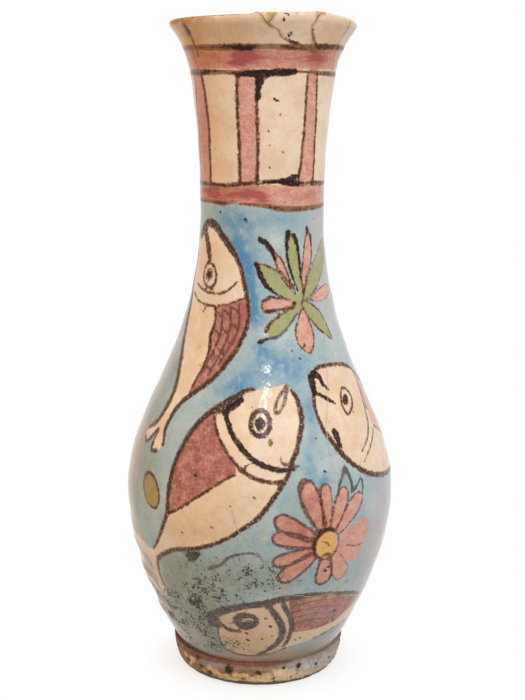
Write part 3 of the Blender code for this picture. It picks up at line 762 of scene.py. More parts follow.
def neck_bands():
    """Bands round the mouth and the neck, and the upright stripes between them."""
    marks = [
        band("cream", SEAM_LINE, 400),
        band("pink", [(0, 278)], 286.6),
        band("pink", SEAM_LINE, 228.6),
        ring("brown", [
            (-180, 287, 2.2), (-52, 287, 2.4), (-15, 286.6, 3.2), (0, 287, 2.2), (27, 286.6, 2.6), (58, 287.6, 2.2),
        ]),
        ring("ink", [
            (-180, 287, 1.2), (-70, 287, 0.6), (-36, 287, 0.8), (-30, 287, 2.2), (-15, 286.6, 3.0),
            (-7, 286.8, 2.4), (-2, 287, 0.3), (11, 287, 0.3), (15, 286.8, 1.8), (27, 286.5, 2.2), (31, 286.8, 0.8),
            (37, 287, 1.2), (41, 287, 2.6), (60, 287.6, 2.2),
        ]),
        ring("brown", [(-180, 276.4, 2.2), (-48, 276.6, 2.6), (-30, 276.4, 2.0), (36, 277, 1.2), (62, 276.2, 2.4)]),
        ring("ink", [
            (-180, 276.4, 1.8), (-57, 275.8, 1.5), (-48, 276.6, 2.3), (-40, 277, 0.9), (-27, 276.2, 1.1),
            (-20, 275.6, 2.0), (25, 276.8, 1.8), (28, 277, 0.5), (36, 277, 0.5), (44, 276.2, 1.2), (62, 276.2, 1.8),
        ]),
        ring("pink", [
            (-180, 13.5, 1.2), (-62, 15, 0.6), (-34, 14, 0.6), (-26, 13.8, 1.8), (0, 13.6, 1.8), (10, 13.6, 1.6),
            (18, 13.4, 0.5), (60, 13, 0.4),
        ]),
        ring("slate", [
            (-180, 13, 0.6), (-62, 13.6, 3.4), (-45, 13, 2.8), (-30, 12.6, 1.8), (-20, 12.4, 1.2), (20, 12.4, 1.2),
            (36, 12.6, 1.6), (60, 13, 1.8),
        ]),
        ring("ink", [
            (-180, 228.6, 2.0), (-54, 228, 1.8), (-35, 228.2, 2.0), (-19, 229, 2.3), (-6, 229.8, 1.8),
            (4, 230, 2.1), (15, 230.2, 2.4), (34, 229, 2.6), (40, 229, 1.7), (55, 229, 2.4), (73, 228.6, 2.0),
        ]),
        ring("brown", [(a, h, w * 1.3) for (a, h), w in zip(SEAM_LINE, SEAM_WIDTHS)]),
        ring("ink", [(a, h, w * 0.8) for (a, h), w in zip(SEAM_LINE, SEAM_WIDTHS)]),
        stroke("black", [(-19, 275.4), (-11, 276), (-2, 276), (16, 276.5), (24, 276.9)], [1.8, 2.8, 3.4, 3.2, 2.8]),
        stroke("black", [(-2, 275.2), (-2, 273.5), (-3.2, 270), (-3.7, 266)], [4.4, 4.0, 2.3, 2.8]),
        fill("black", ellipse((-3.8, 266.2), 2.4, 1.5)),
        stroke("black", [(-50, 276.4), (-45, 276.9)], [1.2, 1.5]),
        stroke(
            "brown",
            [(-74, 298.3), (-62, 299), (-53, 299.4), (-39, 299.3), (-24, 299.9), (-8, 300.2)],
            [2.6, 3.2, 2.4, 1.0, 0.7, 0.4],
        ),
        stroke("ink", [(-68, 298.4), (-60, 298.8), (-50, 298.8), (-42, 299.2)], [0.8, 2.0, 1.6, 0.5]),
        stroke(
            "ink",
            [(-56, 298.5), (-54.5, 296), (-54.5, 293.5), (-54, 291), (-54.5, 288)],
            [1.4, 3.2, 2.8, 1.8, 1.1],
        ),
        stroke("ink", [(-54.5, 288), (-54, 283)], [1.1, 0.7]),
        fill("black", ellipse((-54.8, 294.6), 2.4, 2.2)),
        stroke("ink", [(-33, 300), (-27, 300.3), (-20, 300.2), (-12, 300.4)], [0.6, 1.5, 1.2, 0.5]),
        stroke(
            "ink",
            [(14.5, 290), (20.5, 288.5), (28.5, 286.7), (36, 285.4), (43, 284.4)],
            [0.7, 1.3, 1.6, 1.4, 0.6],
        ),
        stroke("ink", [(31.5, 294.5), (33, 292), (36, 289.5), (39.5, 287.5)], [0.4, 1.1, 0.8, 0.5]),
        stroke("black", [(2, 229.8), (12, 230), (20, 230.4), (28, 229.7), (34, 228.8)], [0.9, 1.5, 2.8, 3.6, 1.8]),
        stroke("black", [(23, 231.6), (29, 232.6), (34, 231.6)], [1.0, 2.2, 1.0]),
        stroke("black", [(-22, 286.8), (-14, 286.4), (-8, 286.5)], [0.8, 1.9, 1.4]),
        stroke("ink", [(-54.2, 230), (-55.5, 224.5)], [1.1, 0.7]),
    ]
    for left, right, widths in STRIPES:
        left = list(zip(left, STRIPE_HEIGHTS))
        right = list(zip(right, STRIPE_HEIGHTS))
        marks += [fill("pink", left + right[::-1]), stroke("ink", left, widths[0]), stroke("ink", right, widths[1])]
    for across, height, size in SPECKS:
        marks.append(stroke("black", [(across, height), (across + size, height - size * 0.6)], [size, size * 0.5]))
    return marks


# Soft patches: angle, height, size across and tall in millimetres, and amount. Dirt is grey and pitted
DIRT = (
    (-24, 55, 16, 14, 1.0), (-8, 63, 10, 8, 1.0), (-40, 38, 14, 12, 1.0), (-55, 30, 10, 12, 0.8),
    (-30, 22, 14, 6, 0.8), (-24, 34, 8, 8, 0.5), (2, 62, 8, 6, 0.8), (-30, 48, 12, 8, 0.8), (-12, 22, 18, 6, 0.4),
    (12, 58, 8, 8, 0.5), (-62, 36, 8, 16, 0.8), (150, 40, 20, 14, 0.6),
)
WASHES = {
    "blue": (
        (-25, 204, 7, 5, 0.8), (-15, 195, 5, 7, 1.0), (-9.5, 186, 3, 7, 1.0), (-6, 177, 2.6, 6, 1.0),
        (-4, 171, 2.6, 4, 1.0), (-28, 213, 10, 5, 0.45), (1, 158, 4, 4, 0.7), (6, 152, 9, 5, 0.55),
        (-12, 141, 8, 3, 0.9), (-10, 146, 10, 3.5, 0.6), (21, 149, 9, 7, 0.6), (26, 131.5, 3, 6, 0.6),
        (25, 121, 2.5, 4, 0.3), (22.5, 110, 2.5, 4, 0.6), (4, 213, 16, 4, 0.4), (28, 103, 4, 3, 0.8),
        (62, 92, 8, 8, 0.5), (12, 84, 4, 4, 0.6), (-66, 112, 7, 12, 0.4), (-66, 143, 5, 8, 0.6),
        (-71, 124, 4, 8, 0.5), (-64, 86, 4, 8, 0.5), (44, 84, 6, 5, 0.5), (33, 18.5, 8, 3, 1.0),
        (48, 24, 6, 3, 0.6), (150, 120, 30, 30, 0.5), (-120, 120, 30, 30, 0.5), (180, 190, 16, 20, 0.6),
        (110, 190, 10, 16, 0.5),
    ),
    "crimson": (
        (-12, 283.5, 5, 2.2, 1.4), (-18, 280.6, 5, 2.0, 1.3), (-4, 281.5, 4, 1.6, 0.5), (39, 283.5, 4, 2, 0.9),
        (-49, 224, 4, 2.4, 0.8), (-9, 225, 5, 2.6, 1.6), (0.5, 223, 3, 2, 1.6), (-20, 225, 5, 2, 0.5),
        (34, 157.5, 1.5, 1.2, 0.9), (110, 283, 10, 3, 0.8), (-130, 283, 12, 3, 0.8), (140, 225, 9, 3, 0.8),
        (20, 84, 14, 20, 0.6), (-14, 173, 4, 6, 1.0), (-17, 163, 7, 14, 0.4), (-8, 13.5, 30, 3, 0.3),
        (35, 43, 14, 8, 0.15), (-22, 113, 7, 12, 0.45), (5, 282.5, 26, 3.5, 0.6), (46, 282, 10, 4, 0.7),
        (-13, 282.5, 6, 3, 0.6), (-42, 224.5, 14, 3.5, 1.0), (48, 224, 10, 3, 0.5), (-64, 225, 10, 4, 0.7),
    ),
    "grey": (
        (15, 109.5, 3, 1.4, 0.6), (10, 113, 2, 2.4, 0.4), (-58, 102, 10, 20, 0.7), (38.5, 102, 2.5, 4.5, 1.2),
        (-68, 140, 9, 26, 0.6), (-42, 58, 10, 10, 1.0), (-32, 66, 12, 6, 0.7), (-66, 84, 6, 14, 0.6),
        (-64, 32, 10, 18, 1.3), (-70, 112, 6, 16, 0.7), (-4, 26, 16, 8, 0.35), (0, 15.5, 30, 2, 0.6), *DIRT,
    ),
    # Pale: worn ground, and painted sheen along the edges of the body
    "pale": (
        (12, 204.5, 3.5, 3, 0.9), (9, 188.5, 3, 3, 0.5), (66, 168, 9, 14, 0.45), (60, 212, 8, 5, 0.5),
        (70, 56, 12, 22, 0.6), (68, 38, 10, 9, 0.8), (-62, 55, 8, 14, 0.3), (-70, 75, 6, 10, 0.4),
        (8, 166, 3, 2, 0.5), (22, 124, 2.5, 3, 0.6), (45, 108, 5, 4, 0.4), (58, 88, 7, 8, 0.7),
        (30, 19, 16, 4, 0.7), (60, 20, 10, 6, 0.7),
    ),
    "loss": (
        (11, 54.5, 0.9, 1.8, 1.0), (13.5, 51, 1.1, 1.0, 1.0), (28, 47.8, 3.2, 1.0, 1.4), (37, 46.8, 2.8, 0.9, 1.4),
        (8.5, 45.5, 1.4, 0.8, 0.7), (22, 17, 9, 2.5, 0.45), (-46, 298.5, 9, 1.6, 0.9), (-64, 30, 8, 14, 0.8),
        (-45, 157, 0.8, 0.9, 0.8), (0.5, 298.5, 2.5, 2, 0.5), (-57, 295, 2.5, 4, 0.5), (-56, 298.2, 10, 1.6, 0.8),
        (-70, 40, 8, 24, 0.35), (-74, 98, 7, 26, 0.8),
    ),
    # Lilac: worn ground, and painted sheen along the left and right edges of the body
    "lilac": (
        (62, 205, 7, 12, 0.8), (64, 178, 8, 16, 0.6), (-76, 52, 12, 20, 0.8), (-66, 28, 10, 8, 0.2),
        (56, 72, 6, 14, 0.4), (66, 58, 10, 20, 0.8), (54, 20, 9, 6, 0.9), (34, 41, 14, 8, 1.2), (60, 36, 5, 8, 0.6),
        (-78, 105, 5, 26, 0.5), (-74, 150, 5, 14, 0.6), (74, 118, 6, 20, 0.8), (66, 88, 8, 16, 0.7),
        (20, 16.5, 14, 2, 0.6), (-20, 15.5, 14, 2, 0.5), (46, 72, 9, 12, 0.5), (-62, 46, 6, 10, 0.6),
        (-69, 66, 5, 9, 0.5), (-40, 24, 8, 5, 0.5),
    ),
    # Yellowed glaze, and painted warm shade down the left side of the vase
    "yellowed": (
        (-56, 292, 14, 12, 1.0), (-15, 293, 16, 9, 0.35), (-50, 282, 12, 5, 0.4), (-15, 88, 22, 12, 0.25),
        (20, 90, 10, 12, 0.3), (14, 66, 9, 8, 0.25), (-34, 80, 14, 10, 0.3), (-8, 30, 16, 12, 0.5),
        (30, 16, 26, 5, 0.7), (-30, 106, 10, 12, 0.3), (50, 290, 12, 8, 0.6), (-70, 250, 12, 26, 0.9),
        (-44, 255, 9, 20, 0.25), (-56, 100, 8, 14, 0.35), (-72, 46, 12, 28, 1.0),
    ),
    "pitted": DIRT,
}


def washes():
    """Soft changes of the ground: strong blue, red in the bands, dirt, worn places, painted sheen near the edges and
    painted warm shade down the left side.
    """
    return [wash(layer, *spot) for layer, spots in WASHES.items() for spot in spots]


# The dark line below the large fish: its path and its widths
DARK_RUN = (
    [(-21, 64), (-16, 66.5), (-12, 70.5), (-6, 72.5), (-1, 72.5), (2, 69), (6, 63.5)],
    [2.2, 1.4, 1.6, 1.1, 1.2, 0.8, 0.6],
)


def drawing():
    """Everything painted on the vase. The back repeats the fish and flowers of the front."""
    marks = steep_fish() + leaf_flower() + great_fish() + right_fish() + daisy() + foot_fish()
    marks += olive_spot((-51.5, 94)) + neck_bands() + washes()
    marks.append(stroke("shade", *DARK_RUN))
    marks += moved(steep_fish(), 195) + moved(leaf_flower(), -166) + moved(great_fish(), 216)
    marks += moved(daisy(), 88, -24) + moved(daisy(), -136, 14) + moved(foot_fish(), 180)
    marks += olive_spot((112, 140)) + olive_spot((-94, 56)) + olive_spot((-100, 143))
    return marks


# Bare chips and dark spots on the foot ring: angle, height and size in millimetres
FOOT_CHIPS = (
    (-30, 6, 2.0), (-21, 4.6, 1.4), (-15, 5.4, 2.2), (-8, 5.6, 2.2), (1.5, 5.6, 2.4), (-59, 8.5, 1.6),
    (-50.5, 8, 2.0), (-63, 12, 1.2), (-40, 5, 1.5), (-34, 7, 1.6), (-26, 4, 1.8), (-54, 5, 1.4), (120, 7, 2.0),
    (-150, 8, 2.0),
)
FOOT_SPOTS = (
    (-19.5, 8.6, 2.3), (0.5, 8, 1.6), (-44, 10.5, 1.4), (-41, 6.5, 1.6), (17.5, 9.8, 1.1), (28.5, 9.8, 1.5),
    (-9.5, 4.7, 1.0), (-34, 4.6, 1.4), (11, 4.8, 1.0), (23.5, 4.4, 0.8), (43, 7.8, 1.1), (-56, 6, 1.4),
    (-72, 9, 1.4), (58, 8, 1.0), (66, 5, 1.2), (110, 7, 1.2), (150, 8.5, 1.0), (-170, 6, 1.4), (-120, 8, 1.0),
)

# Worn patches of the foot, as for WASHES, and dark runs down it: angle, and the height that each ends at
FOOT_WORN = (
    (46, 7, 11, 6, 1.0), (30, 10, 10, 2.6, 0.9), (0, 10.6, 24, 1.4, 0.3), (66, 8, 10, 7, 1.0),
    (-32, 9.5, 7, 2.4, 0.6),
)
FOOT_RUNS = ((8.5, 7), (27, 5), (44, 5), (-12, 6), (61, 6))

# Paint and dirt round the foot, with painted shade where the shade band reaches low on the left, and a dark line along
# the bottom edge: angle and height of each lower edge, and the height that each goes up to
FOOT_BANDS = {
    "pink": [
        (-180, 11.7), (-60, 10), (-45, 10), (-22, 11), (4, 11), (18, 11.6), (28, 14), (75, 14),
    ],
    "shade": [
        (-180, 8), (-90, 2), (-45, 2.5), (-32, 3), (-22, 3.5), (-10, 4.5), (0, 6), (10, 9.5), (60, 9.5), (90, 9),
    ],
    "ink": [(0, -5)],
}
FOOT_BAND_TOPS = {"pink": 15, "shade": 15, "ink": 2.7}


def foot_marks():
    """The dark band of soil and painted shade, the worn places, the chips and the spots on the foot ring."""
    marks = [fill("black", ellipse((across, height), size / 0.8, size)) for across, height, size in FOOT_SPOTS]
    marks += [band(layer, low, FOOT_BAND_TOPS[layer]) for layer, low in FOOT_BANDS.items()]
    marks += [stroke("shade", [(across, 11), (across + 1, low)], [2.4, 1.2]) for across, low in FOOT_RUNS]
    marks += [fill("yellow", ellipse((across, height), size / 0.68, size)) for across, height, size in FOOT_CHIPS]
    marks += [wash("lilac", *spot) for spot in FOOT_WORN]
    return marks


class Canvas:
    """Paint over points of the wall. A solid layer holds how deep inside its paint a point lies, in millimetres."""

    def __init__(self, angles, heights):
        self.angles = angles
        self.heights = heights
        self.radii = outer_radius(heights)
        self.layers = {name: np.full(len(angles), -FAR) for name in SOLID_LAYERS}
        self.layers.update({name: np.zeros(len(angles)) for name in WASH_LAYERS})

    def near(self, path):
        """Points close to a path, and their angles counted from its middle."""
        middle = (path[:, 0].min() + path[:, 0].max()) / 2
        reach = np.ptp(path[:, 0]) / 2
        turn = (self.angles - middle + 180) % 360 - 180
        spread = np.degrees(FAR / np.maximum(self.radii, 20))
        close = np.abs(turn) < reach + spread
        close &= np.abs(self.heights - path[:, 1].mean()) < FAR + np.ptp(path[:, 1])
        found = np.flatnonzero(close)
        return found, turn[found] + middle

    def measure(self, path, found, angles):
        """Distance of points from a path, less half its width there."""
        scale = np.radians(1) * self.radii[found]
        best = np.full(len(found), FAR)
        for (a0, h0, w0), (a1, h1, w1) in zip(path, path[1:]):
            x0 = (a0 - angles) * scale
            y0 = h0 - self.heights[found]
            x1 = (a1 - a0) * scale
            y1 = h1 - h0
            t = np.clip(-(x0 * x1 + y0 * y1) / np.maximum(x1 * x1 + y1 * y1, 1e-9), 0, 1)
            best = np.minimum(best, np.hypot(x0 + t * x1, y0 + t * y1) - (w0 + (w1 - w0) * t) / 2)
        return best

    def inside(self, path, found, angles):
        """Which points lie inside a closed path."""
        odd = np.zeros(len(found), bool)
        heights = self.heights[found]
        for (a0, h0, _), (a1, h1, _) in zip(path, path[1:]):
            if h0 != h1:
                crosses = (h0 > heights) != (h1 > heights)
                odd ^= crosses & (angles < a0 + (a1 - a0) * (heights - h0) / (h1 - h0))
        return odd

    def round_the_vase(self, path, column):
        """A number from a path that runs right round, at each point's angle."""
        return np.interp(self.angles, path[:, 0], path[:, column], period=360)

    def lay(self, mark):
        """Add one mark to its layer."""
        layer = self.layers[mark.layer]
        path = mark.path
        if mark.kind == "band":
            low = self.round_the_vase(path, 1)
            np.maximum(layer, np.minimum(self.heights - low, mark.width - self.heights), out=layer)
        elif mark.kind == "ring":
            height, width = (self.round_the_vase(path, column) for column in (1, 2))
            np.maximum(layer, width / 2 - np.abs(self.heights - height), out=layer)
        elif mark.kind == "wash":
            across, tall, wide, high = path
            turn = (self.angles - across + 180) % 360 - 180
            spread = (np.radians(turn) * self.radii / wide) ** 2 + ((self.heights - tall) / high) ** 2
            layer += mark.width * np.exp(-spread)
        else:
            found, angles = self.near(path)
            depth = -self.measure(path, found, angles)
            if mark.kind == "fill":
                depth = np.where(self.inside(path, found, angles), -depth, depth)
            layer[found] = np.maximum(layer[found], depth)


class Wall:
    """One thrown section, laid flat: the angle runs across and the distance up the wall runs up."""

    def __init__(self, rows, radius, fineness, outside, inside, cracks=()):
        self.rows = np.array(rows, float)
        self.width = 2 * math.pi * radius
        self.columns = math.ceil(self.width / fineness)
        self.fineness = fineness
        self.outside = outside
        self.inside = inside
        self.cracks = [self.ragged(path, seed) for seed, path in enumerate(cracks)]
        self.crack_points = np.vstack([np.empty((0, 2)), *self.cracks])

    def flat(self, angles):
        """Distance across for an angle."""
        return (np.asarray(angles, float) - SLIT) % 360 / 360 * self.width

    def turn(self, across):
        """Angle for a distance across."""
        return SLIT + across / self.width * 360

    def ragged(self, path, seed):
        """A crack in short steps that stray a little from its path."""
        draw = np.random.default_rng(seed)
        points = np.array([(self.flat(a), h) for a, h in path])
        line = [points[:1]]
        for start, end in zip(points, points[1:]):
            along = end - start
            count = max(1, round(np.linalg.norm(along) / CRACK_STEP))
            share = np.arange(1, count + 1)[:, None] / count
            aside = np.array([-along[1], along[0]]) / np.linalg.norm(along)
            stray = draw.normal(0, CRACK_STRAY, (count, 1)) * (share < 1)
            line.append(start + along * share + aside * stray)
        return np.vstack(line)

    def strip(self, line, width):
        """The outline of a crack of this width."""
        along = np.gradient(line, axis=0)
        along /= np.linalg.norm(along, axis=1, keepdims=True)
        aside = np.stack([-along[:, 1], along[:, 0]], axis=1)
        for end in (0, -1):
            if line[end, 1] in (self.rows[0], self.rows[-1]):
                aside[end] = (math.copysign(1, aside[end, 0]), 0)
        return np.vstack([line - aside * width / 2, (line + aside * width / 2)[::-1]])

    def net(self):
        """Points of an even net over the flat wall. Every second row is shifted by half a step."""
        rows = []
        for number, height in enumerate(self.rows):
            across = np.arange(self.columns + 1.0)
            if number % 2:
                across = np.concatenate([[0.0], across[:-1] + 0.5, [self.columns]])
            rows.append(np.stack([across / self.columns * self.width, np.full(len(across), height)], axis=1))
        return np.vstack(rows)

    def points(self, marks):
        """Points of the flat wall: an even net, with the brush lines' own points among them."""
        drawn = np.vstack([m.path[:, :2] for m in marks if m.kind in ("stroke", "fill")])
        across, up = self.flat(drawn[:, 0]), drawn[:, 1]
        edge = self.fineness / 2
        inside = (across > edge) & (across < self.width - edge)
        inside &= (up > self.rows[0] + edge) & (up < self.rows[-1] - edge)
        drawn = spread_out(np.stack([across, up], axis=1)[inside], self.fineness * DRAWN_GAP)
        net = self.net()
        ends = (net[:, 0] == 0) | (net[:, 0] == self.width)
        clear = distances(net, np.vstack([drawn, self.crack_points])) > self.fineness * NET_GAP
        drawn = drawn[distances(drawn, self.crack_points) > self.fineness * CRACK_GAP]
        return np.vstack([net[ends | clear], drawn])


def distances(points, others):
    """Distance of each point from the nearest of the others."""
    best = np.full(len(points), np.inf)
    others = others[np.argsort(others[:, 1])]
    for start in range(0, len(points), BATCH):
        part = points[start : start + BATCH]
        low = np.searchsorted(others[:, 1], part[:, 1].min() - NEARBY)
        high = np.searchsorted(others[:, 1], part[:, 1].max() + NEARBY)
        if high > low:
            gap = part[:, None] - others[None, low:high]
            best[start : start + BATCH] = np.sqrt((gap**2).sum(2).min(1))
    return best


def spread_out(points, gap):
    """Points with those dropped that share a small square with an earlier one."""
    squares = np.floor(points / gap).astype(int)
    _, first = np.unique(squares, axis=0, return_index=True)
    return points[np.sort(first)]


def triangulated(wall, marks, crack_width):
    """Triangles of the flat wall. Returns its points, its triangles and which of these are glue."""
    points = wall.points(marks)
    outlines = []
    for line in wall.cracks:
        strip = wall.strip(line, crack_width)
        outlines.append(list(range(len(points), len(points) + len(strip))))
        points = np.vstack([points, strip])
    made = delaunay_2d_cdt([Vector(p) for p in points], [], outlines, 0, 1e-5)
    points = np.array([tuple(p) for p in made[0]])
    triangles = np.array(made[2])
    glue = np.array([bool(owners) for owners in made[5]])
    a, b, c = (points[triangles[:, i]] for i in range(3))
    area = (b[:, 0] - a[:, 0]) * (c[:, 1] - a[:, 1]) - (b[:, 1] - a[:, 1]) * (c[:, 0] - a[:, 0])
    triangles[area < 0] = triangles[area < 0][:, ::-1]
    return points, triangles[area != 0], glue[area != 0]


def welded(points, width):
    """For each point its own number, or that of the point across the slit."""
    same = np.arange(len(points))
    left = {round(points[i, 1], 3): i for i in np.flatnonzero(points[:, 0] < TOUCHING)}
    for i in np.flatnonzero(points[:, 0] > width - TOUCHING):
        same[i] = left[round(points[i, 1], 3)]
    return same


def islands(triangles, closed):
    """A number for each connected group of triangles that aren't closed off."""
    group = np.arange(len(triangles))

    def root(i):
        while group[i] != i:
            group[i] = group[group[i]]
            i = group[i]
        return i

    owner = {}
    for number in np.flatnonzero(~closed):
        corners = triangles[number]
        for start, end in zip(corners, np.roll(corners, -1)):
            other = owner.setdefault((min(start, end), max(start, end)), number)
            if other != number:
                group[root(number)] = root(other)
    return np.array([root(i) for i in range(len(triangles))])


def holder(points, triangles, spot):
    """The triangle of the flat wall that holds a spot."""
    a, b, c = (points[triangles[:, i]] - spot for i in range(3))
    sides = [p[:, 0] * q[:, 1] - p[:, 1] * q[:, 0] >= 0 for p, q in ((a, b), (b, c), (c, a))]
    return np.flatnonzero(np.all(sides, axis=0))[0]


def in_space(angles, radii, heights):
    """Points in metres from angles, radii and heights in millimetres."""
    turn = np.radians(angles)
    return np.stack([radii * np.sin(turn), -radii * np.cos(turn), heights + 0 * radii], axis=1) * MM


def wobble(angles, heights, amount):
    """How far the hand-thrown wall strays from round."""
    turn = np.radians(angles)
    stray = sum(weight * np.sin(turns * turn + phase + heights / rise) for weight, turns, phase, rise in WOBBLE_WAVES)
    aside = ((angles - FLAKED[0] + 180) % 360 - 180) / FLAKE_REACH[0]
    flaked = np.exp(-(aside**2) - ((heights - FLAKED[1]) / FLAKE_REACH[1]) ** 2)
    ripple = sum(np.sin(heights * rise + turns * turn) for rise, turns in FLAKE_RIPPLES)
    return amount * (stray + FLAKE_DEPTH * flaked * ripple)


def lip_wave(angles, heights):
    """How far the uneven lip lies above or below the plane of the mouth."""
    share = np.clip((heights - MOUTH_JOINT) / (TOP - MOUTH_JOINT), 0, 1) ** 2
    return share * np.interp(angles, *np.transpose(RIM_HEIGHTS), period=360)


def painted_piece(name, places, faces, bake_map, kinds, layers, materials):
    """An object of the vase, with its map for baking, its materials and its paint layers."""
    mesh = bpy.data.meshes.new(name)
    mesh.from_pydata(places.tolist(), [], faces)
    mesh.polygons.foreach_set("material_index", np.array(kinds, np.int32))
    mesh.uv_layers.new(name=BAKE_MAP).uv.foreach_set("vector", bake_map.astype(np.float32).reshape(-1))
    mesh.polygons.foreach_set("use_smooth", np.ones(len(faces), bool))
    mesh.set_sharp_from_angle(angle=SHARP)
    for layer, values in layers.items():
        mesh.attributes.new(layer, "FLOAT", "POINT").data.foreach_set("value", values.astype(np.float32))
    for material in materials:
        mesh.materials.append(material)
    piece = bpy.data.objects.new(name, mesh)
    bpy.context.scene.collection.objects.link(piece)
    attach(piece, "root")
    return piece


def shell(name, wall, flat, proud, wear, marks, materials):
    """A piece of wall with an outer skin, an inner skin and edges, as a painted object."""
    points, same, triangles = flat
    used, corner = np.unique(same[triangles], return_inverse=True)
    corner = corner.reshape(-1, 3)
    count = len(used)
    angles = wall.turn(points[used, 0])
    levels = points[used, 1]
    from_crack = np.minimum(distances(points[used], wall.crack_points), FAR)
    sunk = wear * np.clip(1 - from_crack / WEAR_REACH, 0, 1) ** 2
    places = np.vstack([wall.outside(angles, levels, proud - sunk), wall.inside(angles, levels, proud)])
    _, first, merged = np.unique(np.round(places, 8), axis=0, return_index=True, return_inverse=True)
    merged = merged.reshape(-1)

    spots = points[triangles]
    low = spots.min(axis=(0, 1))
    spots = (spots - low) / np.maximum(spots.max(axis=(0, 1)) - low, SMALLEST)
    faces, maps, kinds = [], [], []
    skins = ((corner, spots, OUTER_MAP), (corner[:, ::-1] + count, spots[:, ::-1], INNER_MAP))
    for kind, (part, skin_map, (bottom, top)) in enumerate(skins):
        ids = merged[part]
        whole = (ids != np.roll(ids, 1, axis=1)).all(axis=1)
        faces += ids[whole].tolist()
        maps.append((skin_map[whole] * (1, top - bottom) + (0, bottom)).reshape(-1, 2))
        kinds += [kind] * int(whole.sum())

    starts = corner.reshape(-1)
    ends = np.roll(corner, -1, axis=1).reshape(-1)
    across = spots[:, :, 0].reshape(-1)
    next_across = np.roll(spots[:, :, 0], -1, axis=1).reshape(-1)
    lone = ~np.isin(starts * count + ends, ends * count + starts)
    edge_map = []
    low_edge, high_edge = EDGE_MAP
    for i in np.flatnonzero(lone):
        ids = merged[[ends[i], starts[i], starts[i] + count, ends[i] + count]].tolist()
        u, next_u = across[i], next_across[i]
        corners = [(next_u, high_edge), (u, high_edge), (u, low_edge), (next_u, low_edge)]
        kept = [k for k in range(4) if ids[k] != ids[k - 1]]
        if len(kept) > 2 and len({ids[k] for k in kept}) == len(kept):
            faces.append([ids[k] for k in kept])
            edge_map += [corners[k] for k in kept]
            kinds.append(len(skins))
    maps.append(np.array(edge_map).reshape(-1, 2))

    canvas = Canvas(angles, levels)
    for mark in marks:
        canvas.lay(mark)
    canvas.layers["crack"] = -from_crack
    layers = {}
    for layer, values in canvas.layers.items():
        layers[layer] = np.full(len(first), 0.0 if layer in WASH_LAYERS else -FAR)
        layers[layer][merged[:count]] = values
    return painted_piece(name, places[first], faces, np.vstack(maps), kinds, layers, materials)


def stand_for(node):
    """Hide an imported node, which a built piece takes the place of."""
    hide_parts(node)


def built_section(wall, sherds, slot, glue_name, context, fillers=()):
    """Build every piece of one thrown section, and the glue in its cracks."""
    shape = context.scene.vase_shape
    colours = context.scene.vase_colours
    marks = drawing()
    points, triangles, glue = triangulated(wall, marks, shape.crack_width / MM)
    same = welded(points, wall.width)
    groups = islands(same[triangles], glue)
    whole = len(set(groups[~glue]))
    if whole != len(sherds):
        raise RuntimeError(f"the wall broke into {whole} pieces, not {len(sherds)}")
    painted = once("painted_" + slot, glaze_material, colours, slot)
    lining = once("inside_glaze", inside_material, colours)
    broken = once("broken_clay", clay_material, colours)
    for name, sherd in sherds.items():
        spot = np.array([wall.flat(sherd.angle), sherd.height])
        group = groups[holder(points, triangles, spot)]
        part = triangles[(groups == group) & ~glue]
        materials = [painted, lining, broken]
        if name in fillers:
            filler = once(name + "_filler", stained_material, fillers[name], colours.filler_stain)
            materials = [filler, filler, broken]
        piece = shell(name + "_wall", wall, (points, same, part), sherd.proud, shape.crack_wear / MM, marks, materials)
        stand_for(name)
    if glue.any():
        glue_kind, tint, stain = GLUES[slot]
        film = once(glue_kind, stained_material, getattr(colours, tint), getattr(colours, stain))
        piece = shell(glue_name, wall, (points, same, triangles[glue]), -GLUE_SINK, 0.0, [], [film] * 3)


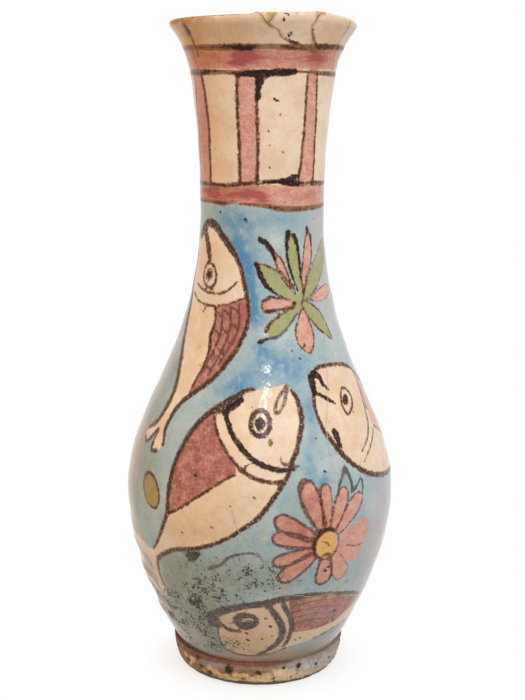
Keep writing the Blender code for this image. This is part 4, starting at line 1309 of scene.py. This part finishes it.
class Graph:
    """Builds a node tree in short calls."""

    def __init__(self, tree):
        self.tree = tree

    def node(self, kind, **settings):
        made = self.tree.nodes.new("ShaderNode" + kind)
        for name, value in settings.items():
            setattr(made, name, value)
        return made

    def feed(self, socket, value):
        """Link a socket to another, or set its value. A colour of three numbers is opaque."""
        if isinstance(value, bpy.types.NodeSocket):
            self.tree.links.new(value, socket)
        elif np.ndim(value) and len(value) == 3 and len(socket.default_value) == 4:
            socket.default_value = (*value, 1)
        else:
            socket.default_value = value

    def feed_all(self, made, values):
        """Feed the inputs of a node, by name or in order. Returns the node."""
        for socket, value in values.items() if isinstance(values, dict) else enumerate(values):
            self.feed(made.inputs[socket], value)
        return made

    def math(self, operation, *values, clamp=False):
        return self.feed_all(self.node("Math", operation=operation, use_clamp=clamp), values).outputs[0]

    def times(self, *values, clamp=False):
        return self.math("MULTIPLY", *values, clamp=clamp)

    def vector(self, operation, *values):
        made = self.feed_all(self.node("VectorMath", operation=operation), values)
        return made.outputs["Value" if operation == "LENGTH" else "Vector"]

    def ramp(self, value, low, high, start=0.0, end=1.0):
        """A smooth step from low to high."""
        made = self.node("MapRange", interpolation_type="SMOOTHSTEP")
        values = {"Value": value, "From Min": low, "From Max": high, "To Min": start, "To Max": end}
        return self.feed_all(made, values).outputs["Result"]

    def mix(self, share, under, over, blend="MIX"):
        """One colour laid over another."""
        made = self.node("Mix", data_type="RGBA", blend_type=blend, clamp_factor=True)
        return self.feed_all(made, {0: share, 6: under, 7: over}).outputs[2]

    def noise(self, place, scale, detail=2.0, roughness=0.5, distortion=0.0):
        values = {"Vector": place, "Scale": scale, "Detail": detail, "Roughness": roughness, "Distortion": distortion}
        return self.feed_all(self.node("TexNoise"), values).outputs["Fac"]

    def noise_vector(self, place, scale):
        """Noise as three numbers about zero, to bend a place with."""
        made = self.feed_all(self.node("TexNoise"), {"Vector": place, "Scale": scale})
        return self.vector("SUBTRACT", made.outputs["Color"], (0.5, 0.5, 0.5))

    def cells(self, feature, place, scale):
        """Cells about scattered points."""
        return self.feed_all(self.node("TexVoronoi", feature=feature), {"Vector": place, "Scale": scale}).outputs

    def layer(self, name):
        return self.node("Attribute", attribute_name=name).outputs["Fac"]

    def place(self):
        return self.node("TexCoord").outputs["Object"]

    def group(self, tree, **values):
        return self.feed_all(self.node("Group", node_tree=tree), values).outputs

    def roughen(self, shader, height, strength, depth=BUMP_DEPTH):
        """Bump the surface of a shader."""
        made = self.feed_all(self.node("Bump"), {"Strength": strength, "Distance": depth, "Height": height})
        self.feed(shader.inputs["Normal"], made.outputs["Normal"])

    def seen(self):
        """1 for what the camera sees, straight, mirrored or through glass, and 0 for light that falls on things."""
        rays = self.node("LightPath").outputs
        direct = self.math("MAXIMUM", rays["Is Camera Ray"], rays["Is Glossy Ray"])
        return self.math("MAXIMUM", direct, rays["Is Transmission Ray"])

    def blend(self, share, under, over, surface):
        """Mix two shaders into an output."""
        made = self.feed_all(self.node("MixShader"), (share, under, over))
        self.feed(surface.inputs["Surface"], made.outputs[0])


def new_group(name, inputs, outputs):
    """An empty node group with these sockets. Returns its graph, its inputs and its output node."""
    tree = bpy.data.node_groups.new(name, "ShaderNodeTree")
    for socket, (kind, default) in inputs.items():
        made = tree.interface.new_socket(socket, in_out="INPUT", socket_type="NodeSocket" + kind)
        made.default_value = default
    for socket, kind in outputs.items():
        tree.interface.new_socket(socket, in_out="OUTPUT", socket_type="NodeSocket" + kind)
    entry = tree.nodes.new("NodeGroupInput")
    exit_node = tree.nodes.new("NodeGroupOutput")
    return Graph(tree), entry.outputs, exit_node.inputs


def shared(name, make, *given):
    """A node group that is made once."""
    return bpy.data.node_groups.get(name) or make(name, *given)


def once(name, make, *given):
    """A material that is made once."""
    return bpy.data.materials.get(name) or make(name, *given)


def brush_edge_group(name):
    """The edge of a brush mark: how deep a point lies inside, made ragged by the grain of the paint."""
    graph, given, out = new_group(
        name,
        {"Depth": ("Float", 0.0), "Ragged": ("Float", 0.2), "Soft": ("Float", 0.2)},
        {"Mask": "Float", "Depth": "Float"},
    )
    place = graph.place()
    grain = graph.math("SUBTRACT", graph.noise(place, 1150, 3, 0.6), 0.5)
    drift = graph.math("SUBTRACT", graph.noise(place, 420, 2), 0.5)
    stray = graph.times(graph.math("ADD", grain, drift), given["Ragged"])
    depth = graph.math("MULTIPLY_ADD", stray, 2.4, given["Depth"])
    graph.feed(out["Mask"], graph.ramp(depth, graph.times(given["Soft"], -1.0), given["Soft"]))
    graph.feed(out["Depth"], depth)
    return graph.tree


def glaze_skin_group(name):
    """The surface of an old glaze: an uneven skin, pinholes and fine crazing."""
    graph, given, out = new_group(
        name,
        {"Pitted": ("Float", 0.0), "Crazed": ("Float", 0.5)},
        {"Height": "Float", "Pits": "Float", "Crazing": "Float"},
    )
    place = graph.place()
    peel = graph.times(graph.noise(place, 330, 2), 0.6)
    swell = graph.times(graph.noise(place, 130, 2), 2.0)
    bent = graph.vector("MULTIPLY_ADD", graph.noise_vector(place, 1100), (0.0012, 0.0012, 0.0012), place)
    spots = graph.cells("F1", bent, 300.0)
    chosen = graph.feed_all(graph.node("SeparateColor"), (spots["Color"],)).outputs
    few = graph.ramp(chosen[0], 0.90, 0.91)
    size = graph.math("MULTIPLY_ADD", chosen[1], 0.11, 0.03)
    pinhole = graph.times(few, graph.ramp(graph.math("SUBTRACT", size, spots["Distance"]), 0.0, 0.05))
    patch = graph.times(given["Pitted"], graph.ramp(graph.noise(place, 150, 3, 0.6), 0.38, 0.62))
    fleck = graph.math("MULTIPLY_ADD", patch, 0.14, graph.noise(place, 880, 4, 0.65, 0.6))
    sores = graph.times(graph.ramp(patch, 0.05, 0.3, 0.0, 0.88), graph.ramp(fleck, 0.62, 0.68))
    pits = graph.math("MAXIMUM", graph.times(pinhole, 0.8), sores)
    edges = graph.cells("DISTANCE_TO_EDGE", bent, 95.0)
    crazing = graph.times(given["Crazed"], graph.ramp(edges["Distance"], 0.02, 0.0))
    height = graph.math("ADD", peel, swell)
    height = graph.math("MULTIPLY_ADD", pits, -0.6, height)
    height = graph.math("MULTIPLY_ADD", crazing, -0.12, height)
    for socket, value in (("Height", height), ("Pits", pits), ("Crazing", crazing)):
        graph.feed(out[socket], value)
    return graph.tree


def painting_group(name, colours):
    """The painted decoration, from the paint layers on the wall."""
    graph, given, out = new_group(
        name,
        {"Pits": ("Float", 0.0), "Crazing": ("Float", 0.0), "Soaked": ("Float", 1.0)},
        {"Colour": "Color", "Ink": "Float"},
    )
    place = graph.place()
    edge = shared("brush edge", brush_edge_group)
    mix, ramp, times = graph.mix, graph.ramp, graph.times
    cloud = graph.noise(place, 60, 3, 0.6)
    brushed = graph.noise(place, 240, 4, 0.65, 0.2)
    speckle = graph.noise(place, 850, 3, 0.7)
    streak = graph.noise(graph.vector("MULTIPLY", place, STREAKS), 110, 3, 0.6)
    up = graph.feed_all(graph.node("SeparateXYZ"), (place,)).outputs["Z"]
    banded = ramp(up, *STREAKED)
    grain = graph.math("MULTIPLY_ADD", banded, graph.math("SUBTRACT", streak, brushed), brushed)
    mottle = ramp(graph.math("MULTIPLY_ADD", brushed, 0.5, times(speckle, 0.5)), 0.38, 0.62)

    def brush(layer, ragged=0.2, soft=0.2):
        return graph.group(edge, Depth=graph.layer(layer), Ragged=ragged, Soft=soft)

    def wash(layer, low=0.25, high=0.6, most=1.0, over=brushed):
        return times(graph.layer(layer), ramp(over, low, high, 0.25, most), clamp=True)

    def thin(layer, ragged, soft, *grains):
        return times(brush(layer, ragged, soft)["Mask"], ramp(speckle, *grains))

    ground = mix(ramp(cloud, 0.35, 0.7, 0.0, 0.45), colours.turquoise, colours.pale)
    ground = mix(ramp(brushed, 0.45, 0.75, 0.0, 0.45), ground, colours.blue)
    ground = mix(times(wash("blue", 0.3, 0.55, 0.95), 1.15, clamp=True), ground, colours.blue)
    # The pale and lilac washes are worn ground, and painted sheen along the edges of the body
    ground = mix(wash("pale", 0.2, 0.6, 0.9), ground, colours.pale)
    ground = mix(wash("grey", 0.2, 0.7, 0.9), ground, colours.grey)
    ground = mix(wash("lilac", 0.3, 0.65, 0.95), ground, colours.lilac)
    scuffed = ramp(graph.noise(place, 330, 4, 0.6, 0.8), 0.52, 0.62, 0.0, 0.3)
    ground = mix(times(graph.layer("pitted"), scuffed, clamp=True), ground, colours.lilac)
    cream = mix(ramp(cloud, 0.35, 0.7, 0.0, 0.7), colours.cream, colours.tan)
    cream = mix(ramp(mottle, 0.5, 1.0, 0.0, 0.35), cream, colours.tan)
    pink = mix(times(mottle, 0.6), colours.pink, colours.rose)
    pink = mix(times(banded, ramp(streak, 0.45, 0.7, 0.0, 0.35)), pink, colours.rose)
    pink = mix(times(banded, ramp(speckle, 0.5, 0.68, 0.0, 0.55)), pink, colours.rose)
    pink = mix(wash("crimson", 0.2, 0.7, 1.0, grain), pink, colours.crimson)
    mauve = mix(times(mottle, 0.85), colours.mauve, colours.plum)
    mauve = mix(ramp(graph.noise(place, 230, 4, 0.75), 0.44, 0.62, 0.0, 0.6), mauve, colours.plum)
    mauve = mix(times(wash("crimson", 0.3, 0.58), 0.7), mauve, colours.crimson)

    tint = mix(brush("cream")["Mask"], ground, cream)
    tint = mix(times(brush("pink")["Mask"], 0.94), tint, pink)
    tint = mix(times(brush("mauve", 0.4)["Mask"], 0.95), tint, mauve)
    for layer, share, grains in (("green", 0.25, "tan"), ("yellow", 0.18, "stain"), ("olive", 0.2, "tan")):
        paint = mix(times(mottle, share), getattr(colours, layer), getattr(colours, grains))
        tint = mix(brush(layer)["Mask"], tint, paint)
    tint = mix(thin("shade", 0.5, 0.35, 0.4, 0.68, 0.95, 0.5), tint, colours.shade)
    tint = mix(times(brush("brown", 0.4, 0.3)["Mask"], 0.85), tint, colours.brown)
    tint = mix(thin("slate", 0.6, 0.45, 0.45, 0.7, 0.96, 0.65), tint, colours.slate)
    line = brush("ink", 0.6, 0.35)
    depth = graph.math("MULTIPLY_ADD", graph.math("SUBTRACT", speckle, 0.5), -1.6, line["Depth"])
    tone = mix(ramp(depth, 0.0, 0.8), colours.ink_edge, colours.ink)
    tint = mix(times(line["Mask"], ramp(speckle, 0.52, 0.70, 0.97, 0.45)), tint, tone)
    black = brush("black", 0.6, 0.35)["Mask"]
    tint = mix(times(black, ramp(speckle, 0.55, 0.72, 0.98, 0.6)), tint, colours.black)
    soaked = times(ramp(graph.layer("crack"), -1.6, 0.0), ramp(brushed, 0.35, 0.65))
    tint = mix(times(soaked, given["Soaked"]), tint, colours.stain)
    tint = mix(wash("loss", 0.35, 0.6), tint, colours.loss)
    tint = mix(times(wash("grey", 0.3, 0.7), 0.28), tint, colours.grey)
    # A lilac film over the paint: painted sheen along the edges, also over the petals there
    tint = mix(times(wash("lilac", 0.4, 0.7), 0.45), tint, colours.lilac)
    # Yellowed glaze, and painted warm shade down the left side
    tint = mix(graph.layer("yellowed"), tint, colours.yellowed, "MULTIPLY")
    grit = ramp(graph.noise(place, 1500, 2, 0.6), 0.45, 0.75, 0.0, 0.4)
    tint = mix(grit, tint, colours.brown, "SOFT_LIGHT")
    tint = mix(times(given["Crazing"], 0.25), tint, colours.brown)
    graph.feed(out["Colour"], mix(given["Pits"], tint, colours.pit))
    graph.feed(out["Ink"], graph.math("MAXIMUM", line["Mask"], black))
    return graph.tree


def new_material(name):
    """A new material. Returns it, its graph and its main shader."""
    material = bpy.data.materials.new(name)
    material.use_nodes = True
    return material, Graph(material.node_tree), material.node_tree.nodes["Principled BSDF"]


def glaze_material(name, colours, slot):
    """Painted earthenware under a clear glaze."""
    material, graph, shader = new_material(name)
    pitted = graph.math("ADD", graph.layer("pitted"), PITTED[slot])
    skin = graph.group(shared("glaze skin", glaze_skin_group), Pitted=pitted)
    painting = shared("painting", painting_group, colours)
    paint = graph.group(painting, Pits=skin["Pits"], Crazing=skin["Crazing"], Soaked=SOAKED[slot])
    graph.feed(shader.inputs["Base Color"], paint["Colour"])
    shader.inputs["Specular IOR Level"].default_value = GLAZE_SHINE
    rough = graph.math("MULTIPLY_ADD", paint["Ink"], 0.10, 0.10)
    graph.feed(shader.inputs["Roughness"], graph.math("MULTIPLY_ADD", skin["Pits"], 0.4, rough))
    graph.roughen(shader, skin["Height"], GLAZE_BUMP)
    return material


def clay_grain_group(name, colours):
    """Bare earthenware: mottled, gritty and soiled."""
    graph, given, out = new_group(name, {"Soiled": ("Float", 0.5)}, {"Colour": "Color", "Height": "Float"})
    place = graph.place()
    cloud = graph.noise(place, 120, 4, 0.6)
    grit = graph.noise(place, 900, 3, 0.6)
    spots = graph.ramp(graph.noise(place, 210, 2, 0.5, 0.4), 0.60, 0.70)
    dirty = graph.times(given["Soiled"], graph.math("MAXIMUM", spots, graph.ramp(cloud, 0.45, 0.75)))
    tint = graph.mix(graph.ramp(grit, 0.3, 0.7, 0.0, 0.3), colours.clay, colours.sand)
    graph.feed(out["Colour"], graph.mix(dirty, tint, colours.dark_clay))
    graph.feed(out["Height"], graph.math("MULTIPLY_ADD", spots, -0.4, graph.math("ADD", grit, cloud)))
    return graph.tree


def clay_material(name, colours):
    """Bare clay in the breaks."""
    material, graph, shader = new_material(name)
    grain = graph.group(shared("clay grain", clay_grain_group, colours), Soiled=BREAK_SOIL)
    graph.feed(shader.inputs["Base Color"], grain["Colour"])
    shader.inputs["Roughness"].default_value = 0.75
    graph.roughen(shader, grain["Height"], CLAY_BUMP)
    return material


def foot_material(name, colours):
    """Soiled clay with a dark band of soil and painted shade, bare chips and dark spots."""
    material, graph, shader = new_material(name)
    grain = graph.group(shared("clay grain", clay_grain_group, colours), Soiled=FOOT_SOIL)
    edge = shared("brush edge", brush_edge_group)
    place = graph.place()
    speckle = graph.ramp(graph.noise(place, 600, 3, 0.7), 0.35, 0.65)

    def mask(layer, ragged, soft, most):
        return graph.times(graph.group(edge, Depth=graph.layer(layer), Ragged=ragged, Soft=soft)["Mask"], most)

    patchy = graph.ramp(graph.noise(place, 260, 4, 0.65), 0.3, 0.6, 0.3, 0.9)
    worn = graph.times(graph.layer("lilac"), patchy, clamp=True)
    tint = grain["Colour"]
    for share, one, other in (
        # The dark band: soiled clay, and painted shade where it reaches low on the left
        (mask("shade", 0.9, 0.6, 0.8), colours.dark_clay, colours.brown),
        (mask("yellow", 0.8, 0.4, 0.9), colours.loss, colours.clay),
        (worn, colours.lilac, colours.grey),
        (mask("pink", 0.8, 0.6, 0.65), colours.shade, colours.plum),
    ):
        tint = graph.mix(share, tint, graph.mix(speckle, one, other))
    tint = graph.mix(mask("ink", 1.0, 0.5, 0.85), tint, colours.pit)
    spots = mask("black", 0.9, 0.4, 0.95)
    graph.feed(shader.inputs["Base Color"], graph.mix(spots, tint, colours.pit))
    shader.inputs["Roughness"].default_value = 0.6
    shader.inputs["Specular IOR Level"].default_value = GLAZE_SHINE
    graph.roughen(shader, graph.math("MULTIPLY_ADD", spots, -1.0, grain["Height"]), CLAY_BUMP)
    return material


def inside_material(name, colours):
    """The thin cream glaze of the inside."""
    material, graph, shader = new_material(name)
    skin = graph.group(shared("glaze skin", glaze_skin_group), Pitted=0.15)
    cloud = graph.ramp(graph.noise(graph.place(), 60, 4, 0.6), 0.35, 0.75)
    tint = graph.mix(graph.times(cloud, 0.6), colours.inside, colours.inside_stain)
    graph.feed(shader.inputs["Base Color"], graph.mix(skin["Pits"], tint, colours.inside_pit))
    graph.feed(shader.inputs["Roughness"], graph.math("MULTIPLY_ADD", cloud, 0.2, 0.3))
    graph.roughen(shader, skin["Height"], GLAZE_BUMP)
    return material


def stained_material(name, tint, stain):
    """Aged glue or filler: one colour that is stained by another in patches."""
    material, graph, shader = new_material(name)
    place = graph.place()
    patch = graph.ramp(graph.noise(place, 300, 4, 0.6), 0.35, 0.7)
    grit = graph.noise(place, 1300, 2)
    graph.feed(shader.inputs["Base Color"], graph.mix(patch, tint, stain))
    graph.feed(shader.inputs["Roughness"], graph.math("MULTIPLY_ADD", grit, 0.3, 0.4))
    graph.roughen(shader, grit, FILLER_BUMP, FILLER_DEPTH)
    return material


def plain_wall(shape, low, high, radius, cracks=()):
    """A section whose outer and inner walls run at the same height."""
    rows = np.linspace(low, high, math.ceil((high - low) / (shape.fineness / MM)) + 1)

    def outside(angles, levels, proud):
        return in_space(angles, outer_radius(levels) + wobble(angles, levels, shape.wobble / MM) + proud, levels)

    def inside(angles, levels, proud):
        return in_space(angles, outer_radius(levels) - shape.wall / MM + proud, levels)

    return Wall(rows, radius, shape.fineness / MM, outside, inside, cracks)


def foot_profile():
    """The foot ring's outline: radius and height, round from the top of its side."""
    side = [
        (SOLE_RADIUS + (FOOT_RADIUS - SOLE_RADIUS) * math.cos(a), FOOT_TOP + FOOT_TOP * math.sin(a))
        for a in np.radians(np.linspace(0, -90, 20))
    ]
    sole = [(SOLE_RADIUS + (FOOT_HOLE - SOLE_RADIUS) * s, 0.0) for s in (0.25, 0.5, 0.75, 0.93)]
    hole = [(FOOT_HOLE, height) for height in (0.4, 4.0, 9.0, FOOT_TOP)]
    seat = [(FOOT_HOLE + (FOOT_RADIUS - FOOT_HOLE) * s, FOOT_TOP) for s in (0.3, 0.6, 0.85)]
    return np.array(side + sole + hole + seat)


class VASE_OT_foot(bpy.types.Operator):
    """Turn the bare clay foot ring"""

    bl_idname = "vase.foot"
    bl_label = "Foot ring"

    def execute(self, context):
        profile = foot_profile()
        rows = len(profile)
        columns = math.ceil(2 * math.pi * FOOT_RADIUS / (context.scene.vase_shape.fineness / MM))
        angles = np.arange(columns) / columns * 360 - 180
        turn = np.radians(angles)
        places = []
        for radius, height in profile:
            worn = sum(depth * np.sin(turn * turns + rise * height) for depth, turns, rise in FOOT_WAVES)
            worn *= (radius > SOLE_RADIUS + 0.5) * (height < FOOT_TOP)
            places.append(in_space(angles, radius - np.abs(worn), np.full(columns, height)))
        index = np.arange(rows * columns).reshape(rows, columns)
        after = np.roll(index, -1, axis=0)
        faces = np.stack([index, after, np.roll(after, -1, axis=1), np.roll(index, -1, axis=1)], axis=2).reshape(-1, 4)
        u = (np.arange(columns)[:, None] + (0, 0, 1, 1)) / columns
        v = (np.arange(rows)[:, None] + (0, 1, 1, 0)) / rows
        bake_map = np.stack(np.broadcast_arrays(u[None], v[:, None]), axis=3)
        canvas = Canvas(np.tile(angles, rows), np.repeat(profile[:, 1], columns))
        for mark in foot_marks():
            canvas.lay(mark)
        layers = {layer: canvas.layers[layer] for layer in FOOT_LAYERS}
        clay = foot_material("soiled_clay", context.scene.vase_colours)
        kinds = np.zeros(len(faces))
        piece = painted_piece("foot_ring_clay", np.vstack(places), faces.tolist(), bake_map, kinds, layers, [clay])
        stand_for("foot_ring")
        return {"FINISHED"}


class VASE_OT_lower_body(bpy.types.Operator):
    """Build the bowl of the vase and the sherd glued into it"""

    bl_idname = "vase.lower_body"
    bl_label = "Lower body"

    def execute(self, context):
        shape = context.scene.vase_shape
        bowl = plain_wall(shape, FOOT_TOP, BELLY_JOINT, BOWL_SPREAD)
        fillet_top = FLOOR_TOP + FLOOR_FILLET
        start = float(outer_radius(FOOT_TOP))
        turn = np.radians(np.linspace(-90, 0, 9))
        curve = float(outer_radius(fillet_top)) - shape.wall / MM - FLOOR_FILLET

        def outside(angles, levels, proud):
            wall = outer_radius(levels) + wobble(angles, levels, shape.wobble / MM) + proud
            base = np.interp(levels, SPIGOT_LEVELS, [0, SPIGOT_RADIUS, SPIGOT_RADIUS, start])
            height = np.interp(levels, SPIGOT_LEVELS, [SPIGOT_BASE, SPIGOT_BASE, FOOT_TOP, FOOT_TOP])
            low = levels < FOOT_TOP
            return in_space(angles, np.where(low, base, wall), np.where(low, height, levels))

        def inside(angles, levels, proud):
            wall = outer_radius(levels) - shape.wall / MM + proud
            steps = [0, *np.linspace(FOOT_TOP, fillet_top, len(turn))]
            base = np.interp(levels, steps, [0, *(curve + FLOOR_FILLET * np.cos(turn))])
            height = np.interp(levels, steps, [FLOOR_TOP, *(fillet_top + FLOOR_FILLET * np.sin(turn))])
            low = levels < fillet_top
            return in_space(angles, np.where(low, base, wall), np.where(low, height, levels))

        wall = Wall([*FLOOR_LEVELS, *bowl.rows], BOWL_SPREAD, bowl.fineness, outside, inside, BOWL_CRACKS)
        built_section(wall, BOWL_SHERDS, BODY_SLOT, "lower_body_glue", context)
        return {"FINISHED"}


class VASE_OT_shoulder(bpy.types.Operator):
    """Build the shoulder of the vase and the sherd glued into it"""

    bl_idname = "vase.shoulder"
    bl_label = "Shoulder"

    def execute(self, context):
        wall = plain_wall(context.scene.vase_shape, BELLY_JOINT, NECK_JOINT, SHOULDER_SPREAD, SHOULDER_CRACKS)
        built_section(wall, SHOULDER_SHERDS, BODY_SLOT, "shoulder_glue", context)
        return {"FINISHED"}


class VASE_OT_neck(bpy.types.Operator):
    """Build the neck with its upright stripes"""

    bl_idname = "vase.neck"
    bl_label = "Neck"

    def execute(self, context):
        wall = plain_wall(context.scene.vase_shape, NECK_JOINT, MOUTH_JOINT, NECK_SPREAD)
        built_section(wall, NECK_SHERDS, CREAM_SLOT, "neck_glue", context)
        return {"FINISHED"}


class VASE_OT_mouth(bpy.types.Operator):
    """Build the broken mouth: its sherds, its fillers and its glue"""

    bl_idname = "vase.mouth"
    bl_label = "Mouth"

    def execute(self, context):
        shape = context.scene.vase_shape
        colours = context.scene.vase_colours
        fineness = shape.fineness / MM
        rows = np.linspace(MOUTH_JOINT, LIP_CREST, math.ceil((LIP_CREST - MOUTH_JOINT) / fineness * LIP_FINENESS) + 1)

        def skin(side, thickness):
            """A skin of the mouth that meets the other along the crest of the lip. Its side is 1 outside, -1 inside."""

            def place(angles, levels, proud):
                turn = np.clip((levels - LIP_BASE) / LIP_ARC, 0, 1) * math.pi / 2
                on_lip = levels > LIP_BASE
                lip = LIP_RADIUS - LIP_ROUND + side * LIP_ROUND * np.cos(turn) ** LIP_SQUARE
                radius = np.where(on_lip, lip, outer_radius(levels) - thickness)
                height = np.where(on_lip, LIP_BASE + LIP_ROUND * np.sin(turn) ** LIP_SQUARE, levels)
                radius = radius + wobble(angles, height, shape.wobble / MM) + proud * (1 - np.sin(turn))
                return in_space(angles, radius, height + lip_wave(angles, height))

            return place

        wall = Wall(rows, MOUTH_SPREAD, fineness * LIP_STEP, skin(1, 0.0), skin(-1, shape.wall / MM), MOUTH_CRACKS)
        fillers = {"rim_fill_front": colours.yellow_filler, "rim_fill_right": colours.orange_filler}
        built_section(wall, MOUTH_SHERDS, CREAM_SLOT, "mouth_glue", context, fillers)
        return {"FINISHED"}


def add_lamp(name, setting, power):
    """A rectangular lamp that looks at the middle of the vase."""
    lamp = bpy.data.lights.new(name, "AREA")
    lamp.shape = "RECTANGLE"
    lamp.size, lamp.size_y = setting.size
    lamp.energy = power
    lamp.color = setting.tint
    made = bpy.data.objects.new(name, lamp)
    made.location = setting.place
    made.rotation_euler = (MIDDLE - Vector(setting.place)).to_track_quat("-Z", "Y").to_euler()
    made.visible_glossy = setting.mirrored
    bpy.context.scene.collection.objects.link(made)


def add_camera(studio, scene):
    """The camera, placed as in the photograph."""
    camera = bpy.data.cameras.new("camera")
    camera.sensor_fit = "VERTICAL"
    camera.sensor_height = SENSOR
    camera.lens = studio.lens
    made = bpy.data.objects.new("camera", camera)
    tilt = Matrix.Rotation(math.pi / 2 - studio.pitch, 4, "X") @ Matrix.Rotation(studio.roll, 4, "Z")
    made.matrix_world = Matrix.Translation((studio.aside, -studio.distance, studio.height)) @ tilt
    scene.collection.objects.link(made)
    scene.camera = made


def add_floor(studio, scene):
    """The floor: white where it is seen, apart from the shadow near the foot."""
    floor = bpy.data.meshes.new("floor")
    square = [(x * FLOOR_REACH, y * FLOOR_REACH, 0) for x, y in ((-1, -1), (1, -1), (1, 1), (-1, 1))]
    floor.from_pydata(square, [], [(0, 1, 2, 3)])
    material, graph, shader = new_material("floor_white")
    away = graph.ramp(graph.vector("LENGTH", graph.place()), *SHADOW, 0.7, 1.0)
    seen = graph.seen()
    shade = graph.ramp(graph.noise(graph.place(), 30, 2), 0.2, 0.8, 0.97, 1.0)
    tint = graph.mix(shade, (0.9, 0.9, 0.9), studio.floor)
    graph.feed(shader.inputs["Base Color"], graph.mix(seen, studio.bounce, tint))
    shader.inputs["Roughness"].default_value = 0.9
    white = graph.feed_all(graph.node("Emission"), {"Strength": 1.0})
    surface = material.node_tree.nodes["Material Output"]
    graph.blend(graph.times(away, seen), shader.outputs[0], white.outputs[0], surface)
    floor.materials.append(material)
    plane = bpy.data.objects.new("floor", floor)
    scene.collection.objects.link(plane)


def add_world(studio, scene):
    """Light from all round, white where it is seen."""
    world = bpy.data.worlds.new("studio")
    scene.world = world
    world.use_nodes = True
    graph = Graph(world.node_tree)
    lit = graph.feed_all(world.node_tree.nodes["Background"], {"Color": SKY_TINT, "Strength": studio.sky})
    white = graph.feed_all(graph.node("Background"), {"Color": WHITE})
    graph.blend(graph.seen(), lit.outputs[0], white.outputs[0], world.node_tree.nodes["World Output"])


class VASE_OT_studio(bpy.types.Operator):
    """Set up the camera, the lamps and the white floor"""

    bl_idname = "vase.studio"
    bl_label = "Studio"

    def execute(self, context):
        scene = context.scene
        studio = scene.vase_studio
        add_camera(studio, scene)
        for name, setting in LAMPS.items():
            add_lamp(name, setting, getattr(studio, name))
        add_floor(studio, scene)
        add_world(studio, scene)
        scene.view_settings.view_transform = "Standard"
        return {"FINISHED"}


class VASE_PT_panel(bpy.types.Panel):
    """Lists the steps that build the vase"""

    bl_label = "Fish vase"
    bl_idname = "VASE_PT_panel"
    bl_space_type = "VIEW_3D"
    bl_region_type = "UI"
    bl_category = "Fish vase"

    def draw(self, context):
        for operator in OPERATORS:
            self.layout.operator(operator.bl_idname)
        for group in (context.scene.vase_shape, context.scene.vase_colours, context.scene.vase_studio):
            column = self.layout.column(align=True)
            for name in group.__annotations__:
                column.prop(group, name)


OPERATORS = (VASE_OT_foot, VASE_OT_lower_body, VASE_OT_shoulder, VASE_OT_neck, VASE_OT_mouth, VASE_OT_studio)
CLASSES = (VaseShape, VaseColours, VaseStudio) + OPERATORS + (VASE_PT_panel,)


def register():
    for cls in CLASSES:
        bpy.utils.register_class(cls)
    bpy.types.Scene.vase_shape = PointerProperty(type=VaseShape)
    bpy.types.Scene.vase_colours = PointerProperty(type=VaseColours)
    bpy.types.Scene.vase_studio = PointerProperty(type=VaseStudio)


def unregister():
    del bpy.types.Scene.vase_shape
    del bpy.types.Scene.vase_colours
    del bpy.types.Scene.vase_studio
    for cls in reversed(CLASSES):
        bpy.utils.unregister_class(cls)


def main():
    register()
    bpy.ops.vase.foot()
    bpy.ops.vase.lower_body()
    bpy.ops.vase.shoulder()
    bpy.ops.vase.neck()
    bpy.ops.vase.mouth()
    bpy.ops.vase.studio()


if __name__ == "__main__":
    main()
